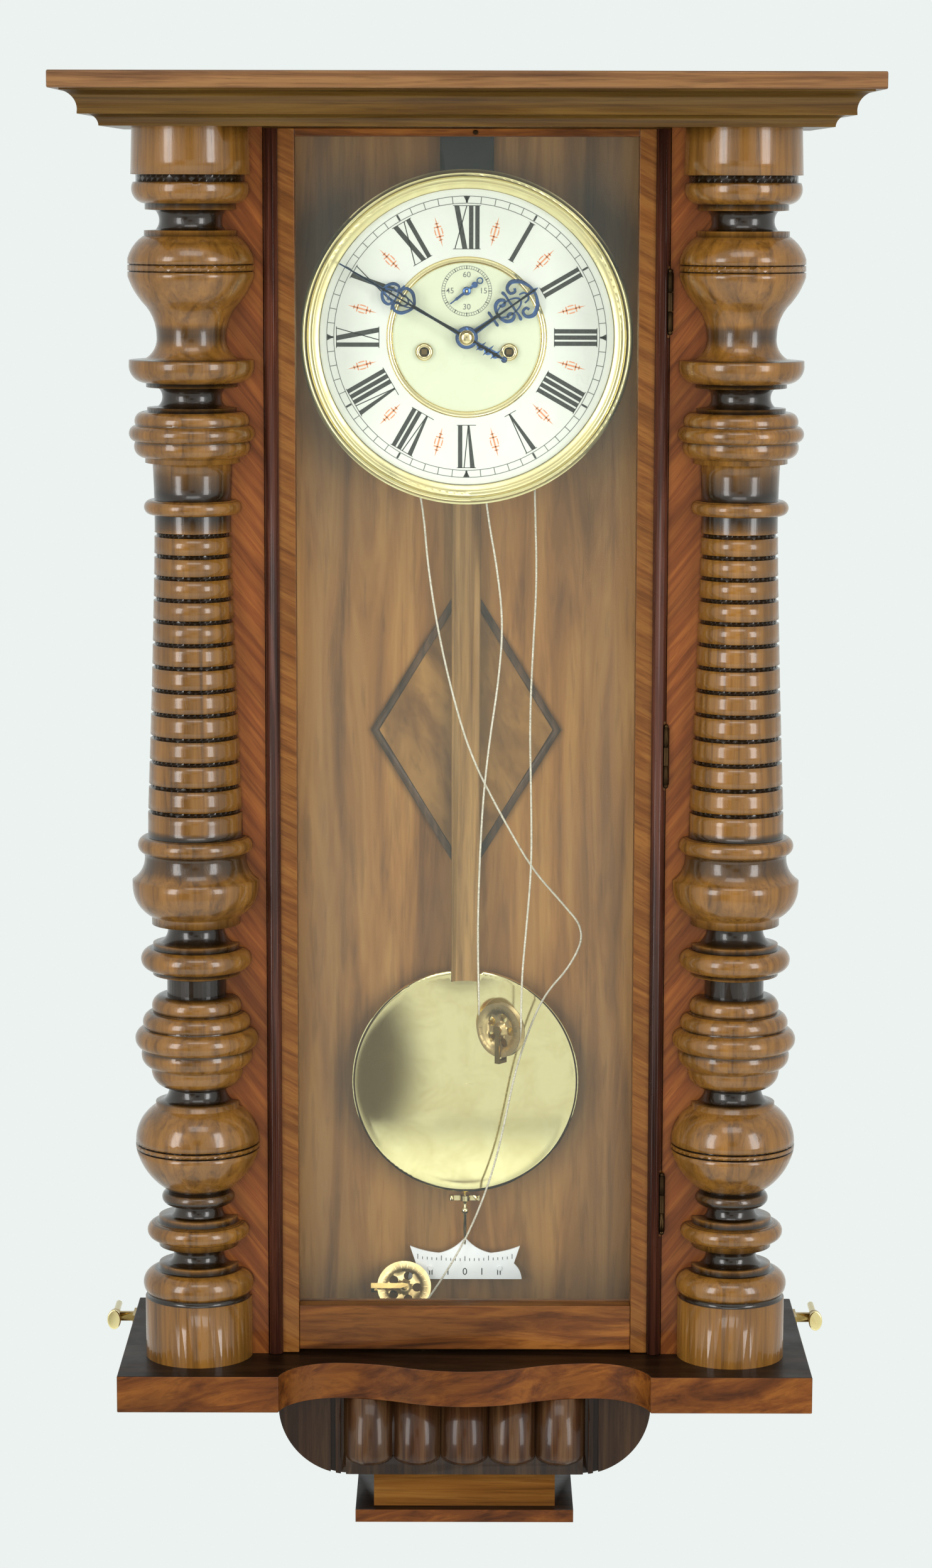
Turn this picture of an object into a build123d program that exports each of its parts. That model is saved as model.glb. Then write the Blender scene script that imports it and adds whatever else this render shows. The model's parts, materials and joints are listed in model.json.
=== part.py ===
"""A weight-driven wall clock in a glazed walnut case with two turned columns.

Millimetres, Z up. X runs to the right as one faces the clock, Y runs into the wall. The wall is the plane
y = 0 and the clock stands out from it towards -Y. The origin is the centre of the hanging hole at the top
of the back. Heights inside the case are counted from the dial's centre.
"""

import os
from math import atan2, cos, degrees, dist, hypot, pi, radians, sin, tan

from build123d import *

os.makedirs("parts", exist_ok=True)

# Overall sizes of the case
case_half = 162.3
case_depth = 124.0
dial_z = -132.0
soffit_above_dial = 123.9
shelf_below_dial = 617.3
touch = 0.3

# Boards of the case
back_thick = 10.0
side_thick = 14.0
front_thick = 18.0
side_border = 30.0
side_window_end = 70.0
pane = 2.0
rebate = 4.0

# Cornice
cornice_over = 76.0
cornice_board_thick = 10.0
moulding_tall = 20.9
lower_cove = 6.6
lower_cove_foot = 49.0
lower_cove_head = 54.5
upper_cove_foot = 60.3
upper_cove_head = 69.6
cove_fillet = 1.0

# Shelf, apron and base under the case
shelf_half = 209.0
shelf_over = 49.3
shelf_thick = 22.4
serpent_half = 112.0
serpent_recess = 29.5
serpent_belly = 11.5
serpent_recess_x = 76.0
apron_half = 113.5
apron_tall = 49.8
apron_corner = 44.0
apron_front = 14.0
apron_deep = 74.0
lobe_count = 5
lobe_pitch = 29.0
lobe_proud = 8.6
lobe_end = 8.0
lobe_above_foot = 4.5
reed_wide = 3.1
reed_deep = 3.0
block_half = 55.5
block_tall = 22.5
block_front = 6.0
block_deep = 56.0
plate_lip = 8.0
plate_side_lip = 11.2
plate_thick = 7.8
plate_deep = 69.0

# Turned columns, as (radius, height above the shelf, swell of the stretch that ends there)
column_foot = [
    (0.0, 0.0, 0), (32.6, 0.0, 0), (32.6, 37.3, 0), (31.2, 37.3, 0), (31.2, 39.8, 0),
    (25.8, 54.8, 5.0), (24.0, 54.8, 0), (24.0, 58.3, 0), (19.0, 58.3, 0), (19.0, 69.3, -3.7),
    (24.0, 69.3, 0), (24.0, 72.8, 0), (26.9, 73.4, 0), (25.8, 84.1, 4.7), (24.0, 84.3, 0),
    (24.0, 87.6, 0), (16.5, 87.6, 0), (15.0, 95.8, -1.3), (20.0, 102.9, 4.6), (18.7, 104.1, 0),
]
column_ball = [
    (37.3, 129.4, 3.2), (36.2, 129.4, 0), (36.2, 130.6, 0), (37.5, 130.6, 0), (37.6, 132.8, 0),
    (36.4, 132.8, 0), (36.4, 134.0, 0), (37.5, 134.0, 0), (25.2, 156.1, 3.5),
    (25.2, 158.8, 0), (20.8, 159.5, 0), (17.2, 167.4, -1.1),
]
column_beads = [
    (27.6, 179.9, 3.6), (32.8, 191.3, 3.0), (31.8, 204.5, 5.0), (26.3, 214.4, 3.2), (19.5, 224.7, 3.6),
    (17.8, 224.7, 0), (17.8, 235.0, 0), (26.3, 237.2, 0), (26.3, 239.8, 0), (26.5, 253.4, 7.0),
    (26.0, 253.4, 0), (26.0, 256.3, 0), (21.5, 256.8, 0), (17.3, 266.8, -1.8), (26.6, 268.0, 0),
]
column_bowl = [
    (26.6, 272.6, 0), (38.0, 291.3, 3.1), (38.0, 294.8, 0), (30.6, 311.0, -2.6),
    (29.3, 321.5, 4.6), (28.4, 321.5, 0),
]
column_collar = [
    (22.7, 514.8, 0), (24.0, 523.3, 5.6), (22.8, 523.4, 0), (23.6, 545.0, 0), (28.0, 545.2, 0),
    (28.0, 548.0, 0), (33.8, 557.7, 3.0), (33.5, 567.3, 3.8), (28.3, 575.4, 2.7), (26.5, 575.4, 0),
    (26.5, 577.7, 0), (20.2, 578.3, 0), (20.0, 589.3, -2.6), (27.0, 589.7, 0), (27.0, 592.1, 0),
]
column_vase = [
    (37.1, 603.5, 3.4), (37.0, 605.6, 0), (27.1, 606.5, 0), (20.6, 619.8, -2.2), (29.1, 639.6, -2.2),
    (37.3, 654.5, 0.8), (37.3, 657.2, 0), (36.4, 657.2, 0), (36.4, 658.0, 0), (37.3, 658.0, 0),
    (37.3, 661.2, 0), (36.4, 661.2, 0), (36.4, 662.0, 0), (37.3, 662.0, 0), (37.3, 665.0, 0),
    (28.0, 678.0, 1.4), (27.4, 678.0, 0), (27.4, 681.3, 0), (20.5, 681.7, 0), (20.5, 692.8, -2.1),
    (26.8, 693.4, 0), (26.8, 696.8, 0), (33.8, 709.3, 3.7), (32.0, 709.6, 0), (32.0, 713.6, 0),
    (35.0, 713.8, 0),
]
cap_radius = 34.2
shaft_low = 333.0
shaft_high = 504.6
shaft_low_radius = 28.4
shaft_high_radius = 22.9
shaft_swell = 1.3
groove_count = 13
groove_first = 336.0
groove_pitch = 15.28
groove_closing = 0.124
groove_wide = 2.6
groove_deep = 1.3

# Glazed door
door_half = 119.6
door_thick = 20.0
sight_half = 101.3
door_gap = 0.4
door_foot_gap = 0.6
rail_foot_gap = 2.3
bottom_rail = 27.5
top_rail = 4.6
round_wide = 8.6
glass_set_back = 12.0
bead_thick = 3.5
hinge_radius = 1.9
hinge_clear = 0.05
hinge_pin_radius = 0.9
hinge_long = 34.0
hinge_heights = (95.0, 370.0, 640.0)
leaf_thick = 0.9
leaf_wide = 12.0
door_open = 105

# Panel on the backboard
diamond_drop = 247.0
diamond_half_wide = 59.5
diamond_half_tall = 97.4
diamond_edge = 4.2
diamond_edge_thick = 4.5
diamond_panel_thick = 2.0

# Hanging plate and steady screws
hanger_radius = 5.0
hanger_thick = 3.0
hanger_half = 15.0
hanger_low = 36.0
hanger_high = 9.0
hanger_pocket = 4.0
screw_head = 3.0
steady_reach = 13.3
steady_drop = 2.2
steady_depth = 29.0
steady_boss = 4.0
steady_screw_radius = 2.0
steady_screw_long = 28.0
running_fit = 0.05

# Dial, with its front at this depth behind the door's front
dial_depth = 45.0
bezel_radius = 100.0
bezel_inner = 88.7
bezel_proud = 9.0
bezel_deep = 3.0
chapter_inner = 48.2
chapter_thick = 1.5
plate_radius = 96.0
dial_plate_thick = 1.5
ring_inner = 44.5
ring_proud = 1.4
winding_x = 25.5
winding_z = -8.7
winding_hole = 4.2
collar_radius = 5.2
seconds_z = 27.7
seconds_radius = 15.0

# Hands
minute_long = 88.0
minute_tail = 26.0
hour_long = 50.5
hour_tail = 9.0
minute_angle = -60.0
hour_angle = 55.0
seconds_angle = -128.0
hand_thick = 0.8
minute_depth = 37.6
hour_depth = 40.2
seconds_depth = 42.6

# Movement
plate_half = 55.0
plate_top = 62.0
plate_low = -58.0
brass_plate = 2.5
front_plate_depth = 56.0
back_plate_depth = 88.0
pillar_radius = 3.6
pillar_places = ((-47.0, -50.0), (47.0, -50.0), (-47.0, 54.0), (47.0, 54.0), (9.0, -52.0))
barrel_radius = 15.0
barrel_flange = 18.0
arbor_radius = 2.2
pivot_clear = 0.05
square_wide = 3.2
line_diameter = 1.3
wound_turns = 5
wound_pitch = 1.8
wound_depth = 72.8
line_off_gap = 1.85
third_x = 14.0
third_z = 21.3
escape_arbor_z = seconds_z
escape_tip = 11.5
minute_wheel_drop = 19.2
pin_x = -27.0
pin_z = 17.36
fly_x = -37.0
fly_z = 33.86
hammer_x = -46.0
hammer_z = -30.0
dial_foot = 42.0

# Pendulum
pendulum_depth = 100.0
swing_z = 45.0
rod_wide = 18.0
rod_thick = 8.0
rod_top = 8.0
bob_z = -469.0
bob_radius = 71.5
bob_thick = 18.0
bob_rim = 2.4
tip_radius = 1.3
nut_drop = 6.0
tip_ball_drop = 6.8
tip_ball_radius = 2.7
tip_drop = 22.7
swing_range = 2.0

# Beat scale
scale_half = 36.2
scale_waist = 31.2
scale_horn = 35.0
scale_foot_z = -599.3
scale_waist_z = -589.0
scale_horn_z = -577.6
scale_peak_z = -571.8
scale_sag_z = -582.2
scale_sag_x = 16.5
scale_thick = 1.5
scale_depth = 104.0
scale_post_x = 22.0
scale_post_z = -592.0

# Line pulleys
pulley_radius = 17.0
pulley_wide = 5.0
pulley_groove = 3.0
pulley_turn = 38.0
pulley_x = 22.1
pulley_depth = 74.0
pulley_z = -430.7
floor_pulley_x = -38.5
floor_pulley_lean = 35.0

# Places worked out from the sizes above
soffit = dial_z + soffit_above_dial
shelf_top = dial_z - shelf_below_dial
shelf_foot = shelf_top - shelf_thick
front = -case_depth
column_tall = soffit - shelf_top
moulding_top = soffit + moulding_tall
cornice_top = moulding_top + cornice_board_thick
inside_back = -back_thick
frame_back = front + front_thick
apron_foot = shelf_foot - apron_tall
block_foot = apron_foot - block_tall
plate_foot = block_foot - plate_thick
door_foot = shelf_top + door_foot_gap
door_head = soffit - door_foot_gap
rail_foot = shelf_top + rail_foot_gap
sight_foot = rail_foot + bottom_rail
sight_head = door_head - top_rail
door_back = front + door_thick
glass_front = front + glass_set_back
glass_back = glass_front + pane
dial_front = front + dial_depth
pendulum_y = front + pendulum_depth
swing_height = dial_z + swing_z
nut_z = bob_z - bob_radius - nut_drop
tip_ball_z = nut_z - tip_ball_drop
tip_end_z = tip_ball_z - tip_drop
front_plate_y = front + front_plate_depth
back_plate_y = front + back_plate_depth
back_plate_rear = back_plate_y + brass_plate


def board(x, y, z, mode=Mode.ADD):
    """A rectangular board that fills the spans x, y and z, each a low and a high value."""
    with Locations(((x[0] + x[1]) / 2, (y[0] + y[1]) / 2, (z[0] + z[1]) / 2)):
        Box(x[1] - x[0], y[1] - y[0], z[1] - z[0], mode=mode)


def outline(points):
    """Lines and arcs through (x, y, swell) points, where a swell bulges that stretch to the right going up."""
    for (x0, y0, _), (x1, y1, swell) in zip(points, points[1:]):
        if swell:
            run = hypot(x1 - x0, y1 - y0)
            middle = ((x0 + x1) / 2 + swell * (y1 - y0) / run, (y0 + y1) / 2 - swell * (x1 - x0) / run)
            ThreePointArc((x0, y0), middle, (x1, y1))
        else:
            Line((x0, y0), (x1, y1))


def facing(x, z, y=0.0):
    """The plane that faces the viewer at depth y, with its origin at x and at height z over the dial's centre."""
    return Plane(origin=(x, y, dial_z + z), x_dir=(1, 0, 0), z_dir=(0, -1, 0))


def turned(x, z):
    """The plane for outlines turned about an axis that runs front to back: radius to the right, depth up."""
    return Plane(origin=(x, 0, dial_z + z), x_dir=(1, 0, 0), z_dir=(0, 0, 1))


def depth_axis(x, z):
    """The front-to-back axis through x and height z over the dial's centre."""
    return Axis((x, 0, dial_z + z), (0, 1, 0))


def ring(x, z, inner, outer, y0, y1):
    """A washer or disc of given radii about a front-to-back axis, from depth y0 to y1."""
    with BuildSketch(turned(x, z)) as section:
        with Locations(((inner + outer) / 2, (y0 + y1) / 2)):
            Rectangle(outer - inner, y1 - y0)
    revolve(section.sketch, axis=depth_axis(x, z))


# Case: backboard, roof, sides and front stiles
with BuildPart() as backboard:
    board((-case_half, case_half), (inside_back, 0), (shelf_top, moulding_top))
    board(
        (-hanger_half, hanger_half),
        (-hanger_thick, 0),
        (-hanger_low, hanger_high),
        mode=Mode.SUBTRACT,
    )
    board(
        (-hanger_radius - 1, hanger_radius + 1),
        (-hanger_thick - hanger_pocket, 0),
        (-hanger_radius - 1, hanger_radius + 1),
        mode=Mode.SUBTRACT,
    )
backboard.part.label = "backboard"
export_step(backboard.part, "parts/backboard.step")

with BuildPart() as case_roof:
    board((-case_half, case_half), (front, inside_back), (soffit, moulding_top))
case_roof.part.label = "case_roof"
export_step(case_roof.part, "parts/case_roof.step")

window_low = shelf_top + side_window_end
window_high = soffit - side_window_end
window_front = frame_back + side_border
window_back = inside_back - side_border
with BuildPart() as side_frames:
    for sign in (-1, 1):
        inner, outer = sorted((sign * (case_half - side_thick), sign * case_half))
        board((inner, outer), (frame_back, inside_back), (shelf_top, soffit))
        board((inner, outer), (window_front, window_back), (window_low, window_high), mode=Mode.SUBTRACT)
        board(
            tuple(sorted((sign * (case_half - side_thick), sign * (case_half - side_thick / 2)))),
            (window_front - rebate, window_back + rebate),
            (window_low - rebate, window_high + rebate),
            mode=Mode.SUBTRACT,
        )
side_frames.part.label = "side_frames"
export_step(side_frames.part, "parts/side_frames.step")

with BuildPart() as side_glasses:
    for sign in (-1, 1):
        outer_face = case_half - side_thick / 2
        board(
            tuple(sorted((sign * (outer_face - pane), sign * outer_face))),
            (window_front - rebate, window_back + rebate),
            (window_low - rebate, window_high + rebate),
        )
side_glasses.part.label = "side_glasses"
export_step(side_glasses.part, "parts/side_glasses.step")

with BuildPart() as front_stiles:
    for sign in (-1, 1):
        span = tuple(sorted((sign * (door_half + door_gap), sign * case_half)))
        board(span, (front, frame_back), (shelf_top, soffit))
front_stiles.part.label = "front_stiles"
export_step(front_stiles.part, "parts/front_stiles.step")

# Cornice: a board on a moulding that is mitred round the front and both sides
with BuildPart() as cornice_moulding:
    with BuildLine() as cornice_path:
        Polyline(
            (-case_half, 0, soffit),
            (-case_half, front, soffit),
            (case_half, front, soffit),
            (case_half, 0, soffit),
        )
    with BuildSketch(Plane(origin=(-case_half, 0, soffit), x_dir=(-1, 0, 0), z_dir=(0, 1, 0))):
        with BuildLine():
            upper_foot = lower_cove + cove_fillet
            outline(
                [
                    (0, 0, 0),
                    (lower_cove_foot, 0, 0),
                    (lower_cove_head, lower_cove, -1.5),
                    (upper_cove_foot, lower_cove, 0),
                    (upper_cove_foot, upper_foot, 0),
                    (upper_cove_head, moulding_tall - cove_fillet, -3.2),
                    (upper_cove_head, moulding_tall, 0),
                    (0, moulding_tall, 0),
                    (0, 0, 0),
                ]
            )
        make_face()
    sweep(path=cornice_path.line, transition=Transition.RIGHT)
cornice_moulding.part.label = "cornice_moulding"
export_step(cornice_moulding.part, "parts/cornice_moulding.step")

with BuildPart() as cornice_board:
    over = case_half + cornice_over
    board((-over, over), (front - cornice_over, 0), (moulding_top, cornice_top))
    fillet(cornice_board.edges().filter_by(Axis.X).group_by(Axis.Y)[0], 1.4)
cornice_board.part.label = "cornice_board"
export_step(cornice_board.part, "parts/cornice_board.step")

# Shelf with its serpentine front
with BuildPart() as shelf:
    with BuildSketch(Plane.XY.offset(shelf_foot)):
        with BuildLine():
            edge = front - shelf_over
            recess = edge + serpent_recess
            belly = edge + serpent_belly
            between_x = serpent_recess_x / 2
            between_y = (recess + belly) / 2
            with_mirror = [
                Line((-shelf_half, 0), (-shelf_half, edge)),
                Line((-shelf_half, edge), (-serpent_half, edge)),
                ThreePointArc(
                    (-serpent_half, edge),
                    (-serpent_half + 9.5, edge + 0.64 * serpent_recess),
                    (-serpent_recess_x, recess),
                ),
                ThreePointArc(
                    (-serpent_recess_x, recess),
                    (-0.74 * serpent_recess_x, recess - 2.6),
                    (-between_x, between_y),
                ),
                ThreePointArc((-between_x, between_y), (-0.26 * serpent_recess_x, belly + 2.6), (0, belly)),
            ]
            mirror(about=Plane.YZ)
            Line((-shelf_half, 0), (shelf_half, 0))
        make_face()
    extrude(amount=shelf_thick)
shelf.part.label = "shelf"
export_step(shelf.part, "parts/shelf.step")

# Apron: a block with rounded ends, two reeds and five lobes, each a turning with an oval end
apron_y = front - apron_front
lobe_half = lobe_pitch / 2
lobe_radius = (lobe_half**2 + lobe_proud**2) / (2 * lobe_proud)
lobe_axis_y = apron_y - lobe_proud + lobe_radius
lobes_half = lobe_count * lobe_half
with BuildPart() as apron:
    with BuildSketch(Plane.XZ.offset(-apron_y - apron_deep)):
        with BuildLine():
            Polyline(
                (-apron_half, shelf_foot - apron_tall + apron_corner),
                (-apron_half, shelf_foot),
                (apron_half, shelf_foot),
                (apron_half, shelf_foot - apron_tall + apron_corner),
            )
            RadiusArc(
                (apron_half, apron_foot + apron_corner),
                (apron_half - apron_corner, apron_foot),
                apron_corner,
            )
            Line((apron_half - apron_corner, apron_foot), (-apron_half + apron_corner, apron_foot))
            RadiusArc(
                (-apron_half + apron_corner, apron_foot),
                (-apron_half, apron_foot + apron_corner),
                apron_corner,
            )
        make_face()
    extrude(amount=apron_deep)
    for sign in (-1, 1):
        for step in (0, 2):
            reed = sign * (lobes_half + reed_wide * (step + 0.5))
            board(
                (reed - reed_wide / 2, reed + reed_wide / 2),
                (apron_y, apron_y + reed_deep),
                (apron_foot, shelf_foot),
                mode=Mode.SUBTRACT,
            )
    for lobe in range(lobe_count):
        lobe_x = (lobe - (lobe_count - 1) / 2) * lobe_pitch
        lobe_foot = apron_foot + lobe_above_foot
        with BuildSketch(Plane(origin=(lobe_x, lobe_axis_y, 0), x_dir=(1, 0, 0), z_dir=(0, -1, 0))):
            with BuildLine():
                Polyline((0, lobe_foot), (0, shelf_foot), (lobe_radius, shelf_foot))
                Line((lobe_radius, shelf_foot), (lobe_radius, lobe_foot + lobe_end))
                EllipticalCenterArc((0, lobe_foot + lobe_end), lobe_radius, lobe_end, -90, arc_size=90)
            make_face()
        revolve(axis=Axis((lobe_x, lobe_axis_y, 0), (0, 0, 1)))
apron.part.label = "apron"
export_step(apron.part, "parts/apron.step")

block_y = front - block_front
base_half = block_half + plate_side_lip
base_y = block_y - plate_lip
with BuildPart() as base:
    board((-block_half, block_half), (block_y, block_y + block_deep), (block_foot, apron_foot))
    board((-base_half, base_half), (base_y, base_y + plate_deep), (plate_foot, block_foot))
base.part.label = "base"
export_step(base.part, "parts/base.step")


def shaft_radius(height):
    """The radius of the tapered, grooved length of a column at a height over the shelf."""
    share = (shaft_high - height) / (shaft_high - shaft_low)
    return shaft_high_radius + (shaft_low_radius - shaft_high_radius) * max(share, 0.0) ** shaft_swell


def grooved_shaft():
    """The outline points of the tapered length, with its grooves closing up towards the top."""
    points = []
    for number in range(groove_count):
        low = groove_first + groove_pitch * number - groove_closing * number**2
        high = low + groove_wide
        points.append((shaft_radius(low), low, 0))
        points.append((shaft_radius(low) - groove_deep, low, 0))
        points.append((shaft_radius(high) - groove_deep, high, 0))
        points.append((shaft_radius(high), high, 0))
    return points


# Columns: full turnings, cut away behind where the corner of the case stands
column_outline = column_foot + column_ball + column_beads + column_bowl + grooved_shaft()
column_outline += [(column_collar[0][0], shaft_high, 0)] + column_collar + column_vase
column_outline += [(cap_radius, column_tall, 0), (0.0, column_tall, 0), (0.0, 0.0, 0)]
for side, sign in (("left", -1), ("right", 1)):
    with BuildPart() as column:
        place = Plane(origin=(sign * case_half, front, shelf_top), x_dir=(1, 0, 0), z_dir=(0, -1, 0))
        with BuildSketch(place):
            with BuildLine():
                outline(column_outline)
            make_face()
        revolve(axis=Axis((sign * case_half, front, shelf_top), (0, 0, 1)))
        corner = tuple(sorted((sign * case_half, sign * (case_half - 60))))
        board(corner, (front, front + 60), (shelf_top, soffit), mode=Mode.SUBTRACT)
    column.part.label = f"{side}_column"
    export_step(column.part, f"parts/{side}_column.step")

# Lozenge panel on the backboard: a moulded edge round a thin field
with BuildPart() as diamond:
    with BuildSketch(facing(0, -diamond_drop, inside_back)):
        Polygon(
            (-diamond_half_wide, 0), (0, -diamond_half_tall), (diamond_half_wide, 0), (0, diamond_half_tall)
        )
        share = 1 - diamond_edge / (diamond_half_wide * sin(atan2(diamond_half_tall, diamond_half_wide)))
        inner_wide = share * diamond_half_wide
        inner_tall = share * diamond_half_tall
        Polygon((-inner_wide, 0), (0, -inner_tall), (inner_wide, 0), (0, inner_tall), mode=Mode.SUBTRACT)
    extrude(amount=diamond_edge_thick)
    chamfer(diamond.faces().sort_by(Axis.Y)[0].edges(), 1.2)
    with BuildSketch(facing(0, -diamond_drop, inside_back)):
        Polygon(
            (-inner_wide + touch, 0),
            (0, -inner_tall + touch),
            (inner_wide - touch, 0),
            (0, inner_tall - touch),
        )
    extrude(amount=diamond_panel_thick)
diamond.part.label = "diamond"
export_step(diamond.part, "parts/diamond.step")

# Hanging plate let into the back, with its two screws
with BuildPart() as hanger_plate:
    board((-hanger_half, hanger_half), (-hanger_thick, 0), (-hanger_low, hanger_high))
    with Locations(Location((0, 0, 0), (90, 0, 0))):
        Cylinder(hanger_radius, 4 * hanger_thick, mode=Mode.SUBTRACT)
hanger_plate.part.label = "hanger_plate"
export_step(hanger_plate.part, "parts/hanger_plate.step")

# Lugs at the ends of the shelf and the screws that steady the case against the wall
steady_x = shelf_half + steady_reach
steady_z = shelf_top - steady_drop
steady_y = -steady_depth
with BuildPart() as steady_lugs:
    for sign in (-1, 1):
        board(
            tuple(sorted((sign * shelf_half, sign * (shelf_half + 1.6)))),
            (steady_y - 9, steady_y + 9),
            (steady_z - 9, steady_z + 1),
        )
        board(
            tuple(sorted((sign * (shelf_half + 1.6), sign * steady_x))),
            (steady_y - 1.6, steady_y + 1.6),
            (steady_z - 4.5, steady_z + 1),
        )
        with Locations(Location((sign * steady_x, steady_y, steady_z - 1.7), (90, 0, 0))):
            Cylinder(steady_boss, 5.0)
            Cylinder(steady_screw_radius + running_fit, 20, mode=Mode.SUBTRACT)
steady_lugs.part.label = "steady_lugs"
export_step(steady_lugs.part, "parts/steady_lugs.step")

for side, sign in (("left", -1), ("right", 1)):
    with BuildPart() as steady_screw:
        head_y = steady_y - 2.5 - 1.0
        with Locations(Location((sign * steady_x, (head_y - 4 - touch) / 2, steady_z - 1.7), (90, 0, 0))):
            Cylinder(steady_screw_radius, -(head_y - 4) - touch)
        with Locations(Location((sign * steady_x, head_y - 1.5, steady_z - 1.7), (90, 0, 0))):
            Cylinder(3.4, 3.0)
        with BuildSketch(
            Plane(origin=(sign * steady_x, head_y - 4, steady_z - 1.7), x_dir=(1, 0, 0), z_dir=(0, -1, 0))
        ):
            Ellipse(4.3, 6.3)
        extrude(amount=2.2)
        fillet(steady_screw.faces().sort_by(Axis.Y)[0].edges(), 0.8)
    steady_screw.part.label = f"{side}_steady_screw"
    export_step(steady_screw.part, f"parts/{side}_steady_screw.step")

# Door: stiles, rails, half-round mouldings, glass and its beads
hinge_x = door_half + door_gap / 2
hinge_y = front - hinge_radius - running_fit
glass_half = sight_half + rebate
glass_foot = sight_foot - rebate
glass_head = sight_head + top_rail / 2
with BuildPart() as door_stiles:
    for sign in (-1, 1):
        span = tuple(sorted((sign * sight_half, sign * door_half)))
        board(span, (front, door_back), (door_foot, door_head))
    board((-glass_half, glass_half), (glass_front, door_back), (glass_foot, glass_head), mode=Mode.SUBTRACT)
door_stiles.part.label = "door_stiles"
export_step(door_stiles.part, "parts/door_stiles.step")

with BuildPart() as door_rails:
    board((-sight_half, sight_half), (front + 1.2, door_back), (rail_foot, sight_foot))
    board((-sight_half, sight_half), (front, door_back), (sight_head, door_head))
    board((-glass_half, glass_half), (glass_front, door_back), (glass_foot, glass_head), mode=Mode.SUBTRACT)
door_rails.part.label = "door_rails"
export_step(door_rails.part, "parts/door_rails.step")

round_radius = round_wide / 2
with BuildPart() as door_mouldings:
    with BuildSketch(Plane.XY.offset(door_foot)):
        for sign in (-1, 1):
            with Locations((sign * (door_half - round_radius), front)):
                Circle(round_radius)
        with Locations((0, front + door_half)):
            Rectangle(4 * door_half, 2 * door_half, mode=Mode.SUBTRACT)
    extrude(amount=door_head - door_foot)
    for height in hinge_heights:
        with Locations((hinge_x, hinge_y, shelf_top + height)):
            Cylinder(hinge_radius + 2 * touch, hinge_long + 8, mode=Mode.SUBTRACT)
door_mouldings.part.label = "door_mouldings"
export_step(door_mouldings.part, "parts/door_mouldings.step")

with BuildPart() as door_glass:
    board((-glass_half, glass_half), (glass_front, glass_back), (glass_foot, glass_head))
door_glass.part.label = "door_glass"
export_step(door_glass.part, "parts/door_glass.step")

with BuildPart() as glazing_beads:
    with BuildSketch(Plane.XZ.offset(-glass_back - bead_thick)):
        with Locations((0, (glass_foot + glass_head) / 2)):
            Rectangle(2 * glass_half, glass_head - glass_foot)
        with Locations((0, (sight_foot + sight_head) / 2)):
            Rectangle(2 * sight_half, sight_head - sight_foot, mode=Mode.SUBTRACT)
    extrude(amount=bead_thick)
glazing_beads.part.label = "glazing_beads"
export_step(glazing_beads.part, "parts/glazing_beads.step")

# Butt hinges on the right: the middle knuckle is on the door, the outer two on the case with the pin
knuckle = hinge_long / 3
leaf_reach = hinge_radius + running_fit + leaf_wide
with BuildPart() as case_knuckles:
    for height in hinge_heights:
        centre_z = shelf_top + height
        with Locations((hinge_x, hinge_y, centre_z)):
            Cylinder(hinge_pin_radius, hinge_long)
        for end in (-1, 1):
            with Locations((hinge_x, hinge_y, centre_z + end * (knuckle + touch / 2))):
                Cylinder(hinge_radius, knuckle - touch / 2)
        for end in (-1, 1):
            with Locations((hinge_x, hinge_y, centre_z + end * (hinge_long / 2 + 1.0))):
                Sphere(hinge_radius - 0.4)
case_knuckles.part.label = "case_knuckles"
export_step(case_knuckles.part, "parts/case_knuckles.step")

# The door's knuckles, and the spring catch at the middle of its head, with a screw that shows in front
with BuildPart() as door_brass:
    with Locations(Location((5.0, front - 0.6, (sight_head + door_head) / 2), (90, 0, 0))):
        Cylinder(1.5, 1.2)
    fillet(door_brass.faces().sort_by(Axis.Y)[0].edges(), 0.5)
    board((-8, 18), (door_back, door_back + 1.2), (sight_head, door_head))
    for height in hinge_heights:
        centre_z = shelf_top + height
        with Locations((hinge_x, hinge_y, centre_z)):
            Cylinder(hinge_radius, knuckle - touch)
            Cylinder(hinge_pin_radius + hinge_clear, knuckle, mode=Mode.SUBTRACT)
door_brass.part.label = "door_brass"
export_step(door_brass.part, "parts/door_brass.step")


def at(depth):
    """The place in y of a depth counted back from the front of the door."""
    return front + depth


def least_gap(path, thick):
    """The least gap between a wound tube and itself, on points, leaving out each point's own neighbourhood."""
    count = int(path.length / (thick / 4))
    points = [tuple(path.position_at(step / count)) for step in range(count + 1)]
    apart = 12
    return min(dist(points[i], other) for i in range(len(points)) for other in points[i + apart :]) - thick


def tooth_points(tip, teeth, tall=1.1, pointed=False):
    """The outline of a wheel's teeth, four points to a tooth, or three to a pointed one."""
    points = []
    share = 2 * pi / teeth
    widths = (0.0, 0.14, 0.5) if pointed else (0.0, 0.42, 0.52, 0.9)
    radii = (tip - tall, tip, tip - tall) if pointed else (tip, tip, tip - tall, tip - tall)
    for tooth in range(teeth):
        for width, radius in zip(widths, radii):
            angle = share * (tooth + width)
            points.append((radius * cos(angle), radius * sin(angle)))
    return points


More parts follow.
